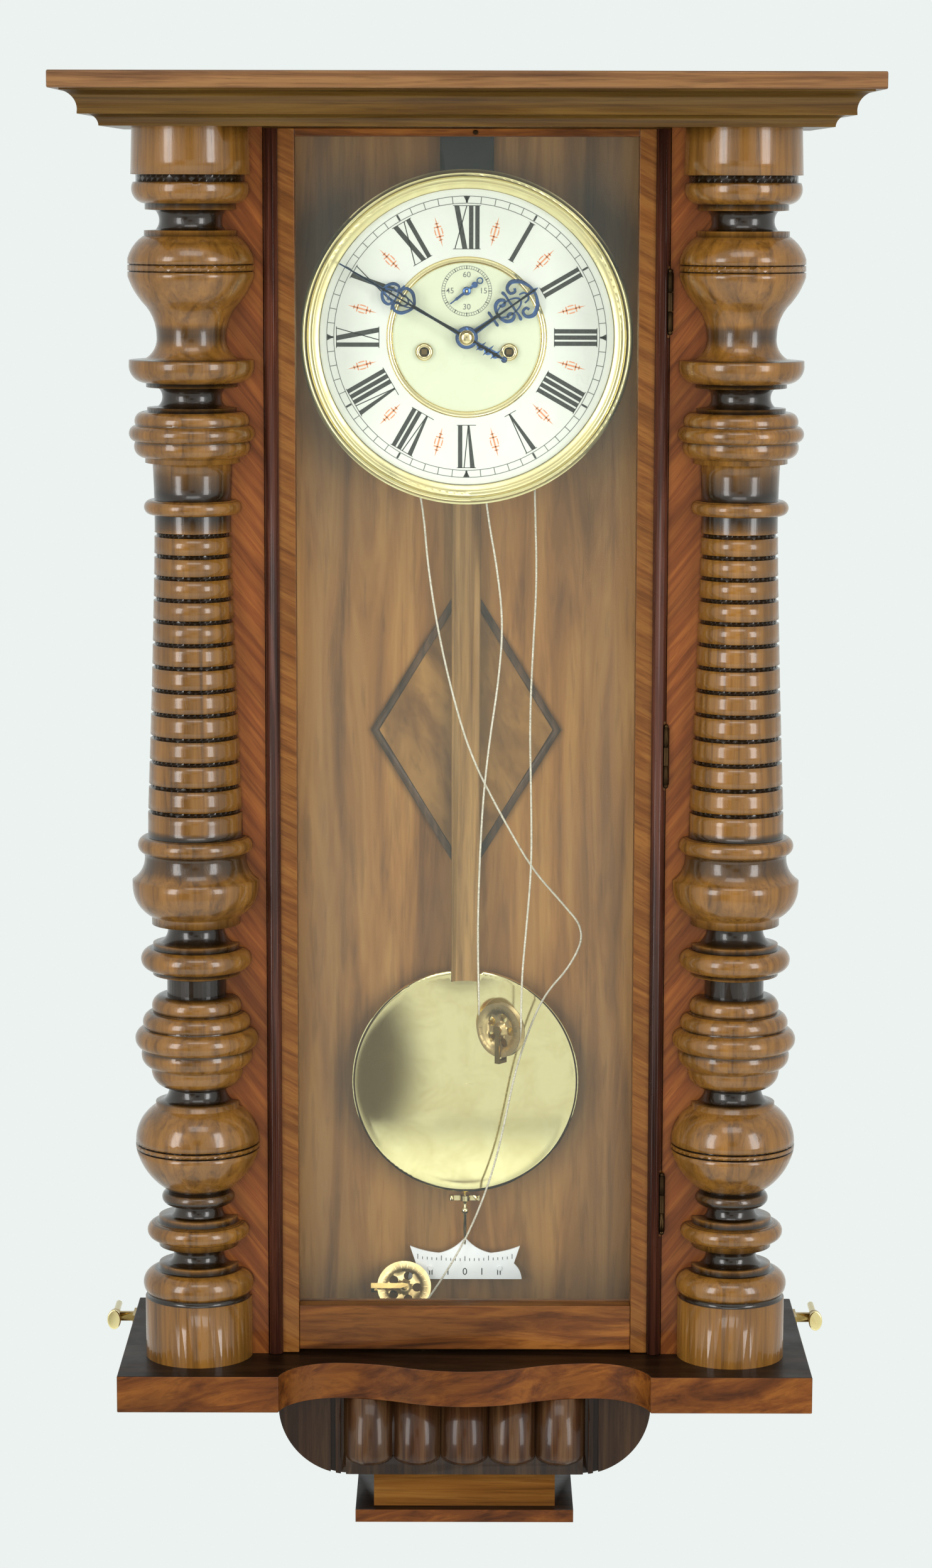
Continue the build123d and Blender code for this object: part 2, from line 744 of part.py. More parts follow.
def wheel(x, z, tip, teeth, bore, y0, y1, arms=5, tall=1.1, pointed=False):
    """A toothed wheel with crossed-out arms, or with none for a small pinion."""
    with BuildSketch(facing(x, z, y1)) as blank:
        with BuildLine():
            Polyline(*tooth_points(tip, teeth, tall, pointed), close=True)
        make_face()
        if arms:
            rim_inner = tip - tall - 1.7
            Circle(rim_inner, mode=Mode.SUBTRACT)
            Circle(0.22 * tip + 1.2)
            with PolarLocations(0.5 * tip, arms):
                Rectangle(tip - 2 * tall, 1.3 + 0.02 * tip)
        if bore:
            Circle(bore, mode=Mode.SUBTRACT)
    extrude(blank.sketch, amount=y1 - y0)


def rod_between(a, b, radius):
    """A round bar between two points."""
    run = Vector(*b) - Vector(*a)
    with BuildSketch(Plane(origin=a, z_dir=run)) as section:
        Circle(radius)
    extrude(section.sketch, amount=run.length)


# Movement frame: two plates, their pillars and the arbors' holes
arbor_places = {
    "centre": (0.0, 0.0, 1.5),
    "third": (third_x, third_z, 1.0),
    "escape": (0.0, escape_arbor_z, 0.9),
    "anchor": (0.0, swing_z, 1.2),
    "going": (winding_x, winding_z, arbor_radius),
    "strike": (-winding_x, winding_z, arbor_radius),
    "pins": (pin_x, pin_z, 1.0),
    "fly": (fly_x, fly_z, 0.8),
    "hammer": (hammer_x, hammer_z, 1.4),
}


def frame_plate(y0, y1, through):
    """One plate of the movement, bored for the arbors that pass it."""
    board((-plate_half, plate_half), (y0, y1), (dial_z + plate_low, dial_z + plate_top))
    for name in through:
        x, z, radius = arbor_places[name]
        with Locations(Location((x, (y0 + y1) / 2, dial_z + z), (90, 0, 0))):
            Cylinder(radius + pivot_clear, 4 * brass_plate, mode=Mode.SUBTRACT)


with BuildPart() as movement_frame:
    frame_plate(front_plate_y, front_plate_y + brass_plate, arbor_places)
    frame_plate(back_plate_y, back_plate_rear, arbor_places)
    for x, z in pillar_places:
        ring(x, z, 0, pillar_radius - 1, front_plate_y + brass_plate, back_plate_y)
        ring(x, z, 0, pillar_radius, front_plate_y + brass_plate, front_plate_y + brass_plate + 3)
        ring(x, z, 0, pillar_radius, back_plate_y - 3, back_plate_y)
        ring(x, z, 0, pillar_radius - 0.6, back_plate_rear, back_plate_rear + 1.5)
    for x in (-dial_foot, dial_foot):
        for z in (-dial_foot, dial_foot):
            ring(x, z, 0, 2.2, at(dial_depth) + chapter_thick + dial_plate_thick, front_plate_y)
    ring(0, -minute_wheel_drop, 0, 1.3, at(49.2), front_plate_y)
movement_frame.part.label = "movement_frame"
export_step(movement_frame.part, "parts/movement_frame.step")

# Iron bracket on the backboard, with a foot over the plates and a cock for the pendulum
strap_half = 16.5
strap_thick = 4.0
seat_low = dial_z + plate_top
with BuildPart() as iron_bracket:
    board((-strap_half, strap_half), (inside_back - strap_thick, inside_back), (dial_z - 20, soffit))
    board((-strap_half, strap_half), (front_plate_y, inside_back - strap_thick), (seat_low, seat_low + 4))
    for sign in (-1, 1):
        rib = tuple(sorted((sign * strap_half, sign * (strap_half - 3))))
        with BuildSketch(Plane.YZ.offset(rib[0])):
            Polygon(
                (inside_back - strap_thick, seat_low + 4),
                (at(70), seat_low + 4),
                (inside_back - strap_thick, seat_low + 40),
                align=None,
            )
        extrude(amount=3)
    board((-5, 5), (pendulum_y - 4, pendulum_y + 4), (dial_z + swing_z + 1, seat_low))
    board(
        (-0.6, 0.6),
        (pendulum_y - 6, pendulum_y + 6),
        (dial_z + swing_z, dial_z + swing_z + 9),
        mode=Mode.SUBTRACT,
    )
iron_bracket.part.label = "iron_bracket"
export_step(iron_bracket.part, "parts/iron_bracket.step")

# Dial: plate, enamel ring and centre, gilt ring, winding collars and bezel
dial_back = dial_front + chapter_thick
with BuildPart() as dial_plate:
    ring(0, 0, 4.6, plate_radius, dial_back, dial_back + dial_plate_thick)
    for x, z, radius in (
        (-winding_x, winding_z, collar_radius),
        (winding_x, winding_z, collar_radius),
        (0, seconds_z, 1.6),
    ):
        with Locations(Location((x, dial_back, dial_z + z), (90, 0, 0))):
            Cylinder(radius, 10, mode=Mode.SUBTRACT)
    for sign in (-1, 1):
        ring(
            sign * winding_x,
            winding_z,
            winding_hole,
            collar_radius,
            dial_front + 0.2,
            dial_back + dial_plate_thick,
        )
dial_plate.part.label = "dial_plate"
export_step(dial_plate.part, "parts/dial_plate.step")

with BuildPart() as dial_enamel:
    ring(0, 0, 4.6, ring_inner, dial_back - 0.7, dial_back)
    for x, z, radius in (
        (-winding_x, winding_z, collar_radius),
        (winding_x, winding_z, collar_radius),
        (0, seconds_z, 1.6),
    ):
        with Locations(Location((x, dial_back, dial_z + z), (90, 0, 0))):
            Cylinder(radius, 10, mode=Mode.SUBTRACT)
    ring(0, 0, chapter_inner, bezel_inner - touch, dial_front, dial_back)
dial_enamel.part.label = "dial_enamel"
export_step(dial_enamel.part, "parts/dial_enamel.step")

with BuildPart() as gilt_ring:
    with BuildSketch(turned(0, 0)):
        with BuildLine():
            outline(
                [
                    (ring_inner, dial_back, 0),
                    (chapter_inner, dial_back, 0),
                    (chapter_inner, dial_front - 0.4, 0),
                    (ring_inner, dial_front - 0.4, 1.0),
                    (ring_inner, dial_back, 0),
                ]
            )
        make_face()
    revolve(axis=depth_axis(0, 0))
gilt_ring.part.label = "gilt_ring"
export_step(gilt_ring.part, "parts/gilt_ring.step")

bezel_front = dial_front - bezel_proud
bezel_back = dial_back + dial_plate_thick
with BuildPart() as bezel:
    with BuildSketch(turned(0, 0)):
        with BuildLine():
            outline(
                [
                    (bezel_inner, dial_front, 0),
                    (bezel_inner, bezel_front + 5.4, 0),
                    (bezel_inner + 0.9, bezel_front + 4.6, 0),
                    (bezel_inner + 3.2, bezel_front + 4.6, 0),
                    (bezel_inner + 3.8, bezel_front + 2.6, 0),
                    (bezel_inner + 7.0, bezel_front, -1.2),
                    (bezel_radius - 2.2, bezel_front + 0.6, -0.5),
                    (bezel_radius, bezel_front + 4.0, -0.8),
                    (bezel_radius, bezel_back, 0),
                    (plate_radius, bezel_back, 0),
                    (plate_radius, dial_back, 0),
                    (bezel_inner, dial_back, 0),
                    (bezel_inner, dial_front, 0),
                ]
            )
        make_face()
    revolve(axis=depth_axis(0, 0))
bezel.part.label = "bezel"
export_step(bezel.part, "parts/bezel.step")


def turned_hand(angle):
    """The plane in which a hand is drawn upright, turned clockwise by an angle from twelve."""
    return Location((0, 0, 0), (0, 0, -angle))


def pierced_hand(angle, length, tail, motif_in, motif_out, motif_half, boss, hole, y0, z=0.0):
    """A slim hand with an open scroll on it, from its tail to its tip."""
    with BuildSketch(facing(0, z, y0 + hand_thick)) as blank:
        with Locations(turned_hand(angle)):
            with Locations((0, (motif_in + motif_out) / 2)):
                Ellipse(motif_half, (motif_out - motif_in) / 2)
                if motif_half > 2:
                    Ellipse(motif_half - 1.0, (motif_out - motif_in) / 2 - 1.4, mode=Mode.SUBTRACT)
            with Locations((0, (boss + length) / 2)):
                Rectangle(0.9, length - boss)
            with Locations((0, (boss + motif_in) / 2)):
                Rectangle(1.6, motif_in - boss + 1)
            if tail:
                with Locations((0, -(boss + tail) / 2)):
                    Rectangle(1.6, tail - boss + 1)
                with Locations((0, -tail)):
                    Circle(1.9)
            Circle(boss)
            if hole:
                Circle(hole, mode=Mode.SUBTRACT)
    extrude(blank.sketch, amount=hand_thick)


# Minute hand on the centre arbor, with the centre wheel and the pinions that drive and follow it
minute_y = at(minute_depth)
hour_y = at(hour_depth)
with BuildPart() as minute_hand:
    pierced_hand(minute_angle, minute_long, minute_tail, 36.0, 58.0, 3.4, 6.2, 0, minute_y)
minute_hand.part.label = "minute_hand"
export_step(minute_hand.part, "parts/minute_hand.step")

with BuildPart() as centre_wheel:
    ring(0, 0, 0, 4.0, minute_y - 0.7, minute_y)
    ring(0, 0, 0, 2.6, minute_y + hand_thick, front_plate_y - touch)
    wheel(0, 0, 4.7, 12, 0, at(53.0), at(55.2), arms=0, tall=1.3)
    ring(0, 0, 0, 1.5, front_plate_y - touch, back_plate_rear)
    wheel(0, 0, 3.8, 10, 0, at(80.4), at(83.2), arms=0)
    wheel(0, 0, 22.4, 80, 0, at(59.5), at(61.1))
centre_wheel.part.label = "centre_wheel"
export_step(centre_wheel.part, "parts/centre_wheel.step")

# Hour hand with its pipe and wheel
with BuildPart() as hour_hand:
    pierced_hand(hour_angle, hour_long, 0, 22.0, 40.0, 4.6, 6.8, 4.0, hour_y)
hour_hand.part.label = "hour_hand"
export_step(hour_hand.part, "parts/hour_hand.step")

with BuildPart() as hour_wheel:
    ring(0, 0, 2.6 + pivot_clear, 4.0, hour_y - 0.4, at(51.4))
    wheel(0, 0, 15.2, 48, 4.0, at(50.0), at(51.2))
hour_wheel.part.label = "hour_wheel"
export_step(hour_wheel.part, "parts/hour_wheel.step")

with BuildPart() as minute_wheel:
    wheel(0, -minute_wheel_drop, 14.2, 36, 1.3 + pivot_clear, at(53.0), at(54.2))
    wheel(0, -minute_wheel_drop, 3.7, 12, 1.3 + pivot_clear, at(49.8), at(53.0), arms=0)
minute_wheel.part.label = "minute_wheel"
export_step(minute_wheel.part, "parts/minute_wheel.step")

# Going train: great wheel, third wheel and escape wheel with the seconds hand
with BuildPart() as going_great_wheel:
    wheel(winding_x, winding_z, 22.8, 84, arbor_radius + pivot_clear, at(81.0), at(82.6), arms=6)
going_great_wheel.part.label = "going_great_wheel"
export_step(going_great_wheel.part, "parts/going_great_wheel.step")

with BuildPart() as third_wheel:
    ring(third_x, third_z, 0, 1.0, front_plate_y + touch, back_plate_rear)
    wheel(third_x, third_z, 2.8, 10, 0, at(58.9), at(61.7), arms=0, tall=0.9)
    wheel(third_x, third_z, 13.3, 60, 0, at(66.0), at(67.6), tall=0.9)
third_wheel.part.label = "third_wheel"
export_step(third_wheel.part, "parts/third_wheel.step")

with BuildPart() as escape_wheel:
    ring(0, escape_arbor_z, 0, 0.9, at(seconds_depth) - 0.6, back_plate_rear)
    wheel(0, escape_arbor_z, 1.75, 8, 0, at(65.5), at(68.1), arms=0, tall=0.6)
    wheel(0, escape_arbor_z, escape_tip, 30, 0, at(70.0), at(71.6), tall=1.8, pointed=True)
escape_wheel.part.label = "escape_wheel"
export_step(escape_wheel.part, "parts/escape_wheel.step")

with BuildPart() as seconds_hand:
    pierced_hand(seconds_angle, 12.6, 6.0, 6.0, 9.0, 0.9, 2.2, 0.9, at(seconds_depth), z=seconds_z)
seconds_hand.part.label = "seconds_hand"
export_step(seconds_hand.part, "parts/seconds_hand.step")

# Anchor and crutch, which rock with the pendulum
anchor_gap = 0.6
crutch_z = -32.0
with BuildPart() as anchor:
    ring(0, swing_z, 0, 1.2, front_plate_y + touch, at(94.5))
    with BuildSketch(facing(0, escape_arbor_z, at(72.1))):
        Circle(escape_tip + 3.8)
        Circle(escape_tip + 1.6, mode=Mode.SUBTRACT)
        with Locations((0, -escape_tip - 4)):
            Rectangle(4 * escape_tip, 2 * escape_tip + 8 + 2 * 6.9, mode=Mode.SUBTRACT)
        for sign in (-1, 1):
            with Locations(Location((0, 0, 0), (0, 0, -sign * 48.3))):
                with Locations((0, escape_tip + anchor_gap + 1.6)):
                    Rectangle(1.5, 3.2)
        with Locations((0, swing_z - escape_arbor_z - 1)):
            Rectangle(3.4, 4.0)
        with Locations((0, swing_z - escape_arbor_z)):
            Circle(2.9)
    extrude(amount=2.6)
    with BuildSketch(facing(0, 0, at(94.0))):
        with Locations((0, (swing_z + crutch_z) / 2)):
            Rectangle(2.8, swing_z - crutch_z)
        with Locations((0, swing_z)):
            Circle(3.4)
        with Locations((0, crutch_z)):
            Circle(2.4)
    extrude(amount=2.0)
    ring(0, crutch_z, 0, 1.2, at(94.0), at(101.0))
anchor.part.label = "anchor"
export_step(anchor.part, "parts/anchor.step")


def barrel(sign):
    """A line barrel on its winding arbor, between two flanges."""
    x = sign * winding_x
    ring(x, winding_z, 0, arbor_radius, at(51.0), back_plate_rear)
    board(
        (x - square_wide / 2, x + square_wide / 2),
        (at(47.0), at(51.0)),
        (dial_z + winding_z - square_wide / 2, dial_z + winding_z + square_wide / 2),
    )
    ring(x, winding_z, 0, barrel_radius - line_diameter / 2 - 0.1, at(64.2), at(80.0))
    ring(x, winding_z, 0, barrel_flange, at(64.2), at(65.4))
    ring(x, winding_z, 0, barrel_flange, at(78.8), at(80.0))


for name, sign in (("strike", -1), ("going", 1)):
    with BuildPart() as line_barrel:
        barrel(sign)
    line_barrel.part.label = f"{name}_barrel"
    export_step(line_barrel.part, f"parts/{name}_barrel.step")

    # The line's turns on the barrel, as one tube on half-turn arcs
    with BuildPart() as winding:
        centre_x = sign * winding_x
        height = dial_z + winding_z
        with BuildLine() as turns:
            for half in range(2 * wound_turns):
                side = sign if half % 2 == 0 else -sign
                depth = at(wound_depth) + wound_pitch * (half / 2 - wound_turns / 2)
                ThreePointArc(
                    (centre_x + side * barrel_radius, depth, height),
                    (centre_x, depth + wound_pitch / 4, height + side * sign * barrel_radius),
                    (centre_x - side * barrel_radius, depth + wound_pitch / 2, height),
                )
        with BuildSketch(turns.line ^ 0):
            Circle(line_diameter / 2)
        sweep(path=turns.line)
    print(name, "winding: least gap", round(least_gap(turns.line.wires()[0], line_diameter), 2))
    winding.part.label = f"{name}_winding"
    export_step(winding.part, f"parts/{name}_winding.step")

# Striking train: great wheel, pin wheel, fly and hammer
with BuildPart() as strike_great_wheel:
    wheel(-winding_x, winding_z, 23.0, 84, arbor_radius + pivot_clear, at(62.0), at(63.6), arms=6)
strike_great_wheel.part.label = "strike_great_wheel"
export_step(strike_great_wheel.part, "parts/strike_great_wheel.step")

with BuildPart() as pin_wheel:
    ring(pin_x, pin_z, 0, 1.0, front_plate_y + touch, back_plate_rear)
    wheel(pin_x, pin_z, 2.8, 10, 0, at(61.5), at(64.0), arms=0, tall=0.9)
    wheel(pin_x, pin_z, 16.3, 64, 0, at(82.4), at(84.0), tall=0.9)
    with Locations(facing(pin_x, pin_z, at(84.0))):
        with PolarLocations(14.2, 8):
            Cylinder(0.7, 4.6)
pin_wheel.part.label = "pin_wheel"
export_step(pin_wheel.part, "parts/pin_wheel.step")

with BuildPart() as fly:
    ring(fly_x, fly_z, 0, 0.8, front_plate_y + touch, back_plate_rear)
    wheel(fly_x, fly_z, 2.7, 8, 0, at(82.0), at(84.4), arms=0, tall=0.8)
    board((fly_x - 9, fly_x + 9), (at(64.0), at(78.0)), (dial_z + fly_z - 0.5, dial_z + fly_z + 0.5))
fly.part.label = "fly"
export_step(fly.part, "parts/fly.step")

gong_z = -58.0
gong_wire = 2.6
gong_y = at(107.8)
with BuildPart() as hammer:
    ring(hammer_x, hammer_z, 0, 1.4, front_plate_y + touch, at(108.5))
    rod_between(
        (hammer_x, at(85.8), dial_z + hammer_z), (hammer_x + 9.5, at(85.8), dial_z + hammer_z + 30.0), 0.8
    )
    rod_between((hammer_x, gong_y, dial_z + hammer_z), (hammer_x - 0.5, gong_y, dial_z + gong_z), 1.1)
    rod_between(
        (hammer_x - 6, gong_y, dial_z + gong_z), (hammer_x + 3.6, gong_y, dial_z + gong_z), 3.4
    )
hammer.part.label = "hammer"
export_step(hammer.part, "parts/hammer.step")

# Coiled wire gong on its block: half turns about two centres, so that they run on smoothly
gong_turns = 5
gong_pitch = 4.8
gong_outer = 37.5
gong_end = gong_pitch / 2 - (gong_outer - (2 * gong_turns - 1) * gong_pitch / 2)
with BuildPart() as gong:
    with BuildLine() as coil:
        for half in range(2 * gong_turns):
            radius = gong_outer - half * gong_pitch / 2
            side = -1 if half % 2 == 0 else 1
            centre = 0.0 if half % 2 == 0 else gong_pitch / 2
            ThreePointArc(
                (centre + side * radius, gong_y, dial_z + gong_z),
                (centre, gong_y, dial_z + gong_z - side * radius),
                (centre - side * radius, gong_y, dial_z + gong_z),
            )
    with BuildSketch(coil.line ^ 0):
        Circle(gong_wire / 2)
    sweep(path=coil.line)
    board(
        (gong_end - 1.6, gong_end + 8.4),
        (at(106.0), inside_back),
        (dial_z + gong_z, dial_z + gong_z + 8),
    )
print("gong: least gap", round(least_gap(coil.line.wires()[0], gong_wire), 2))
gong.part.label = "gong"
export_step(gong.part, "parts/gong.step")

# Pendulum: suspension, wooden rod, bob, threaded tip and rating nut
with BuildPart() as suspension_spring:
    board((-0.15, 0.15), (pendulum_y - 2.5, pendulum_y + 2.5), (dial_z + 32, dial_z + swing_z + 5))
suspension_spring.part.label = "suspension_spring"
export_step(suspension_spring.part, "parts/suspension_spring.step")

rod_foot = bob_z - bob_radius + 16
slot_half = 1.2 + touch
with BuildPart() as pendulum_rod:
    half = rod_thick / 2
    board(
        (-rod_wide / 2, rod_wide / 2),
        (pendulum_y - half, pendulum_y + half),
        (dial_z + rod_foot, dial_z + rod_top),
    )
    fillet(pendulum_rod.edges().filter_by(Axis.Z), 1.2)
    board(
        (-slot_half, slot_half),
        (pendulum_y - rod_thick, pendulum_y + rod_thick),
        (dial_z + crutch_z - 7, dial_z + crutch_z + 7),
        mode=Mode.SUBTRACT,
    )
pendulum_rod.part.label = "pendulum_rod"
export_step(pendulum_rod.part, "parts/pendulum_rod.step")

bob_half = bob_thick / 2
rim_half = rod_thick / 2 - 0.6
with BuildPart() as bob:
    with BuildSketch(Plane(origin=(0, pendulum_y, dial_z + bob_z), x_dir=(1, 0, 0), z_dir=(0, 0, 1))):
        with BuildLine():
            outline(
                [
                    (0, -bob_half, 0),
                    (bob_radius - bob_rim, -rim_half, 1.2),
                    (bob_radius, -rim_half + 1.0, 0.3),
                    (bob_radius, rim_half - 1.0, 0),
                    (bob_radius - bob_rim, rim_half, 0.3),
                    (0, bob_half, 1.2),
                    (0, -bob_half, 0),
                ]
            )
        make_face()
    revolve(axis=Axis((0, pendulum_y, dial_z + bob_z), (0, 1, 0)))
    board(
        (-rod_wide / 2, rod_wide / 2),
        (pendulum_y - rod_thick / 2, pendulum_y + rod_thick / 2),
        (dial_z + rod_foot, dial_z + bob_z + 2 * bob_radius),
        mode=Mode.SUBTRACT,
    )
bob.part.label = "bob"
export_step(bob.part, "parts/bob.step")

nut_tall = 3.2
nut_radius = 3.4
with BuildPart() as pendulum_brass:
    board((-3.5, 3.5), (pendulum_y - 3.5, pendulum_y + 3.5), (dial_z + 20, dial_z + 32))
    board((-1.6, 1.6), (pendulum_y - 1.6, pendulum_y + 1.6), (dial_z + rod_top, dial_z + 20))
    with BuildSketch(Plane(origin=(0, pendulum_y, dial_z), x_dir=(1, 0, 0), z_dir=(0, -1, 0))):
        with BuildLine():
            outline(
                [
                    (0, tip_end_z, 0),
                    (0.5, tip_end_z + 1.0, 0),
                    (tip_radius, tip_ball_z - 12.0, 0),
                    (tip_radius, tip_ball_z - tip_ball_radius + 0.4, 0),
                    (tip_radius, tip_ball_z + tip_ball_radius - 0.4, 1.4),
                    (tip_radius, bob_z - bob_radius, 0),
                    (0, bob_z - bob_radius, 0),
                    (0, tip_end_z, 0),
                ]
            )
        make_face()
    revolve(axis=Axis((0, pendulum_y, dial_z), (0, 0, 1)))
pendulum_brass.part.label = "pendulum_brass"
export_step(pendulum_brass.part, "parts/pendulum_brass.step")

with BuildPart() as rating_nut:
    with BuildSketch(Plane.XY.offset(dial_z + nut_z)):
        with Locations((0, pendulum_y)):
            Circle(nut_radius)
            Rectangle(17.0, 1.4)
            for sign in (-1, 1):
                with Locations((sign * 8.5, 0)):
                    Circle(1.7)
            Circle(tip_radius + running_fit, mode=Mode.SUBTRACT)
    extrude(amount=nut_tall)
rating_nut.part.label = "rating_nut"
export_step(rating_nut.part, "parts/rating_nut.step")

# Engraved scale under the pendulum, on two posts
scale_y = at(scale_depth)
with BuildPart() as beat_scale:
    with BuildSketch(facing(0, 0, scale_y + scale_thick)):
        with BuildLine():
            waist = (scale_waist, scale_waist_z)
            horn = (scale_horn, scale_horn_z)
            sag = (scale_sag_x, scale_sag_z)
            Line((0, scale_foot_z), (scale_half, scale_foot_z))
            ThreePointArc((scale_half, scale_foot_z), (scale_waist + 3.2, scale_foot_z + 6.4), waist)
            Line(waist, horn)
            ThreePointArc(horn, (0.74 * scale_horn, scale_sag_z + 1.6), sag)
            ThreePointArc(sag, (0.22 * scale_horn, scale_sag_z + 3.4), (0, scale_peak_z))
            mirror(about=Plane.YZ)
        make_face()
    extrude(amount=scale_thick)
    for sign in (-1, 1):
        ring(sign * scale_post_x, scale_post_z, 0, 2.2, scale_y + scale_thick, inside_back)
        ring(sign * scale_post_x, scale_post_z, 0, 1.6, scale_y - 0.9, scale_y)
beat_scale.part.label = "beat_scale"
export_step(beat_scale.part, "parts/beat_scale.step")


def pulley_outline(bore):
    """The section of a line pulley: a grooved rim, a thin web and a hub."""
    half = pulley_wide / 2
    groove_foot = pulley_radius - pulley_groove
    return [
        (bore, -half, 0),
        (4.2, -half, 0),
        (4.2, -0.8, 0),
        (groove_foot - 2.4, -0.8, 0),
        (groove_foot - 2.4, -half, 0),
        (pulley_radius, -half, 0),
        (pulley_radius, -half + 0.4, 0),
        (groove_foot, 0, 0),
        (pulley_radius, half - 0.4, 0),
        (pulley_radius, half, 0),
        (groove_foot - 2.4, half, 0),
        (groove_foot - 2.4, 0.8, 0),
        (4.2, 0.8, 0),
        (4.2, half, 0),
        (bore, half, 0),
        (bore, -half, 0),
    ]


def pulley_wheel(place):
    """A line pulley with crossings, turned about the y direction of its place."""
    with BuildSketch(place) as section:
        with BuildLine():
            outline(pulley_outline(1.0 + running_fit))
        make_face()
    revolve(section.sketch, axis=Axis(place.origin, place.y_dir))
    face = Plane(origin=place.origin - place.y_dir * 2, x_dir=place.x_dir, z_dir=place.y_dir)
    with BuildSketch(face) as crossings:
        with PolarLocations(8.2, 5):
            Circle(2.9)
    extrude(crossings.sketch, amount=4, mode=Mode.SUBTRACT)


def stirrup(place, up):
    """The stirrup of a pulley: two cheeks, the pin through the wheel and a wire hook beyond its rim."""
    side = place.y_dir
    reach = pulley_radius + 3.0
    for sign in (-1, 1):
        start = place.origin + side * sign * (pulley_wide / 2 + 0.5)
        plane = Plane(origin=start, x_dir=up.cross(side), z_dir=side * sign)
        with BuildSketch(plane) as cheek:
            Circle(2.6)
            length = reach if up.dot(plane.y_dir) > 0 else -reach
            with Locations((0, length / 2)):
                Rectangle(3.4, abs(length))
        extrude(cheek.sketch, amount=1.0)
    pin_start = place.origin - side * (pulley_wide / 2 + 1.5)
    with BuildSketch(Plane(origin=pin_start, z_dir=side)) as pin:
        Circle(1.0)
    extrude(pin.sketch, amount=pulley_wide + 3.0)
    bridge = Plane(origin=place.origin + up * (reach - 1.0), x_dir=up.cross(side), z_dir=up)
    with BuildSketch(bridge) as yoke:
        Rectangle(3.4, pulley_wide + 3.0)
    extrude(yoke.sketch, amount=2.0)


# Pulleys: one hangs in the loop of the going line, one leans on the beat scale from the floor of the case
hung_place = Plane(
    origin=(pulley_x, at(pulley_depth), dial_z + pulley_z),
    x_dir=(cos(radians(pulley_turn)), -sin(radians(pulley_turn)), 0),
    z_dir=(0, 0, 1),
)
lean_sin = sin(radians(floor_pulley_lean))
lean_cos = cos(radians(floor_pulley_lean))
lying_place = Plane(
    origin=(
        floor_pulley_x,
        at(scale_depth) - touch - pulley_radius * lean_sin - pulley_wide / 2 * lean_cos,
        shelf_top + touch + pulley_radius * lean_cos + pulley_wide / 2 * lean_sin,
    ),
    x_dir=(1, 0, 0),
    z_dir=(0, -lean_sin, -lean_cos),
)
hung_up = Vector(0, 0, -1)
lying_up = Vector(-1, 0, 0)
for name, place, up in (("hanging", hung_place, hung_up), ("lying", lying_place, lying_up)):
    with BuildPart() as pulley:
        pulley_wheel(place)
    pulley.part.label = f"{name}_pulley"
    export_step(pulley.part, f"parts/{name}_pulley.step")

with BuildPart() as pulley_stirrups:
    stirrup(hung_place, hung_up)
    stirrup(lying_place, lying_up)
pulley_stirrups.part.label = "pulley_stirrups"
export_step(pulley_stirrups.part, "parts/pulley_stirrups.step")

# Gut lines: (x, depth, height over the dial's centre) of the corners of each run
line_turn = pulley_radius - pulley_groove + line_diameter / 2 + 1.3
turn_x = line_turn * cos(radians(pulley_turn))
turn_depth = line_turn * sin(radians(pulley_turn))
line_off_depth = wound_depth - wound_turns * wound_pitch / 2 - line_off_gap
going_route = [
    (9.0, 72.0, -55.9),
    (10.0, 72.0, -82.0),
    (13.5, 71.5, -112.0),
    (19.0, 71.5, -142.0),
    (22.8, 72.0, -176.0),
    (20.0, 72.5, -212.0),
    (14.6, 73.5, -248.0),
    (10.6, 75.0, -286.0),
    (8.6, 78.0, -326.0),
    (7.6, 81.8, -366.0),
    (8.0, 85.0, -400.0),
    (pulley_x - turn_x, pulley_depth + turn_depth, pulley_z - line_turn),
    (pulley_x + turn_x, pulley_depth - turn_depth, pulley_z - line_turn),
    (34.6, 64.3, -400.0),
    (37.6, 67.0, -366.0),
    (40.9, 69.0, -326.0),
    (40.4, 70.5, -282.0),
    (39.3, 71.5, -238.0),
    (41.0, 72.0, -194.0),
    (43.4, 72.0, -150.0),
    (42.2, 71.5, -108.0),
    (41.0, 69.8, -68.0),
    (winding_x + barrel_radius + 0.2, 67.5, -34.0),
    (winding_x + barrel_radius, line_off_depth, winding_z - touch),
]
strike_route = [
    (-winding_x - barrel_radius, line_off_depth, winding_z - touch),
    (-39.9, 67.6, -36.0),
    (-34.0, 69.8, -68.0),
    (-26.4, 71.5, -104.0),
    (-23.6, 72.4, -140.0),
    (-17.4, 73.6, -180.0),
    (-8.0, 76.0, -222.0),
    (3.5, 78.4, -260.0),
    (21.9, 79.4, -296.0),
    (41.3, 79.8, -330.0),
    (59.0, 80.2, -350.0),
    (75.0, 80.6, -369.0),
    (66.0, 81.0, -391.0),
    (49.0, 81.2, -410.0),
    (39.0, 81.4, -434.0),
    (31.0, 81.5, -460.0),
    (25.5, 82.0, -488.0),
    (19.0, 82.0, -518.0),
    (9.0, 82.0, -548.0),
    (-3.0, 82.0, -574.0),
    (-17.0, 82.0, -597.0),
    (-27.0, 80.0, -611.0),
    (-39.0, 76.0, -616.4),
    (-50.0, 72.0, -616.5),
]


def corner_radii(points):
    """The largest even bends that leave a straight piece of run between every two corners."""
    radii = []
    for before, corner, after in zip(points, points[1:], points[2:]):
        run_in = corner - before
        run_out = after - corner
        half_turn = radians(run_in.get_angle(run_out)) / 2
        radii.append(0.45 * min(run_in.length, run_out.length) / tan(half_turn))
    return radii


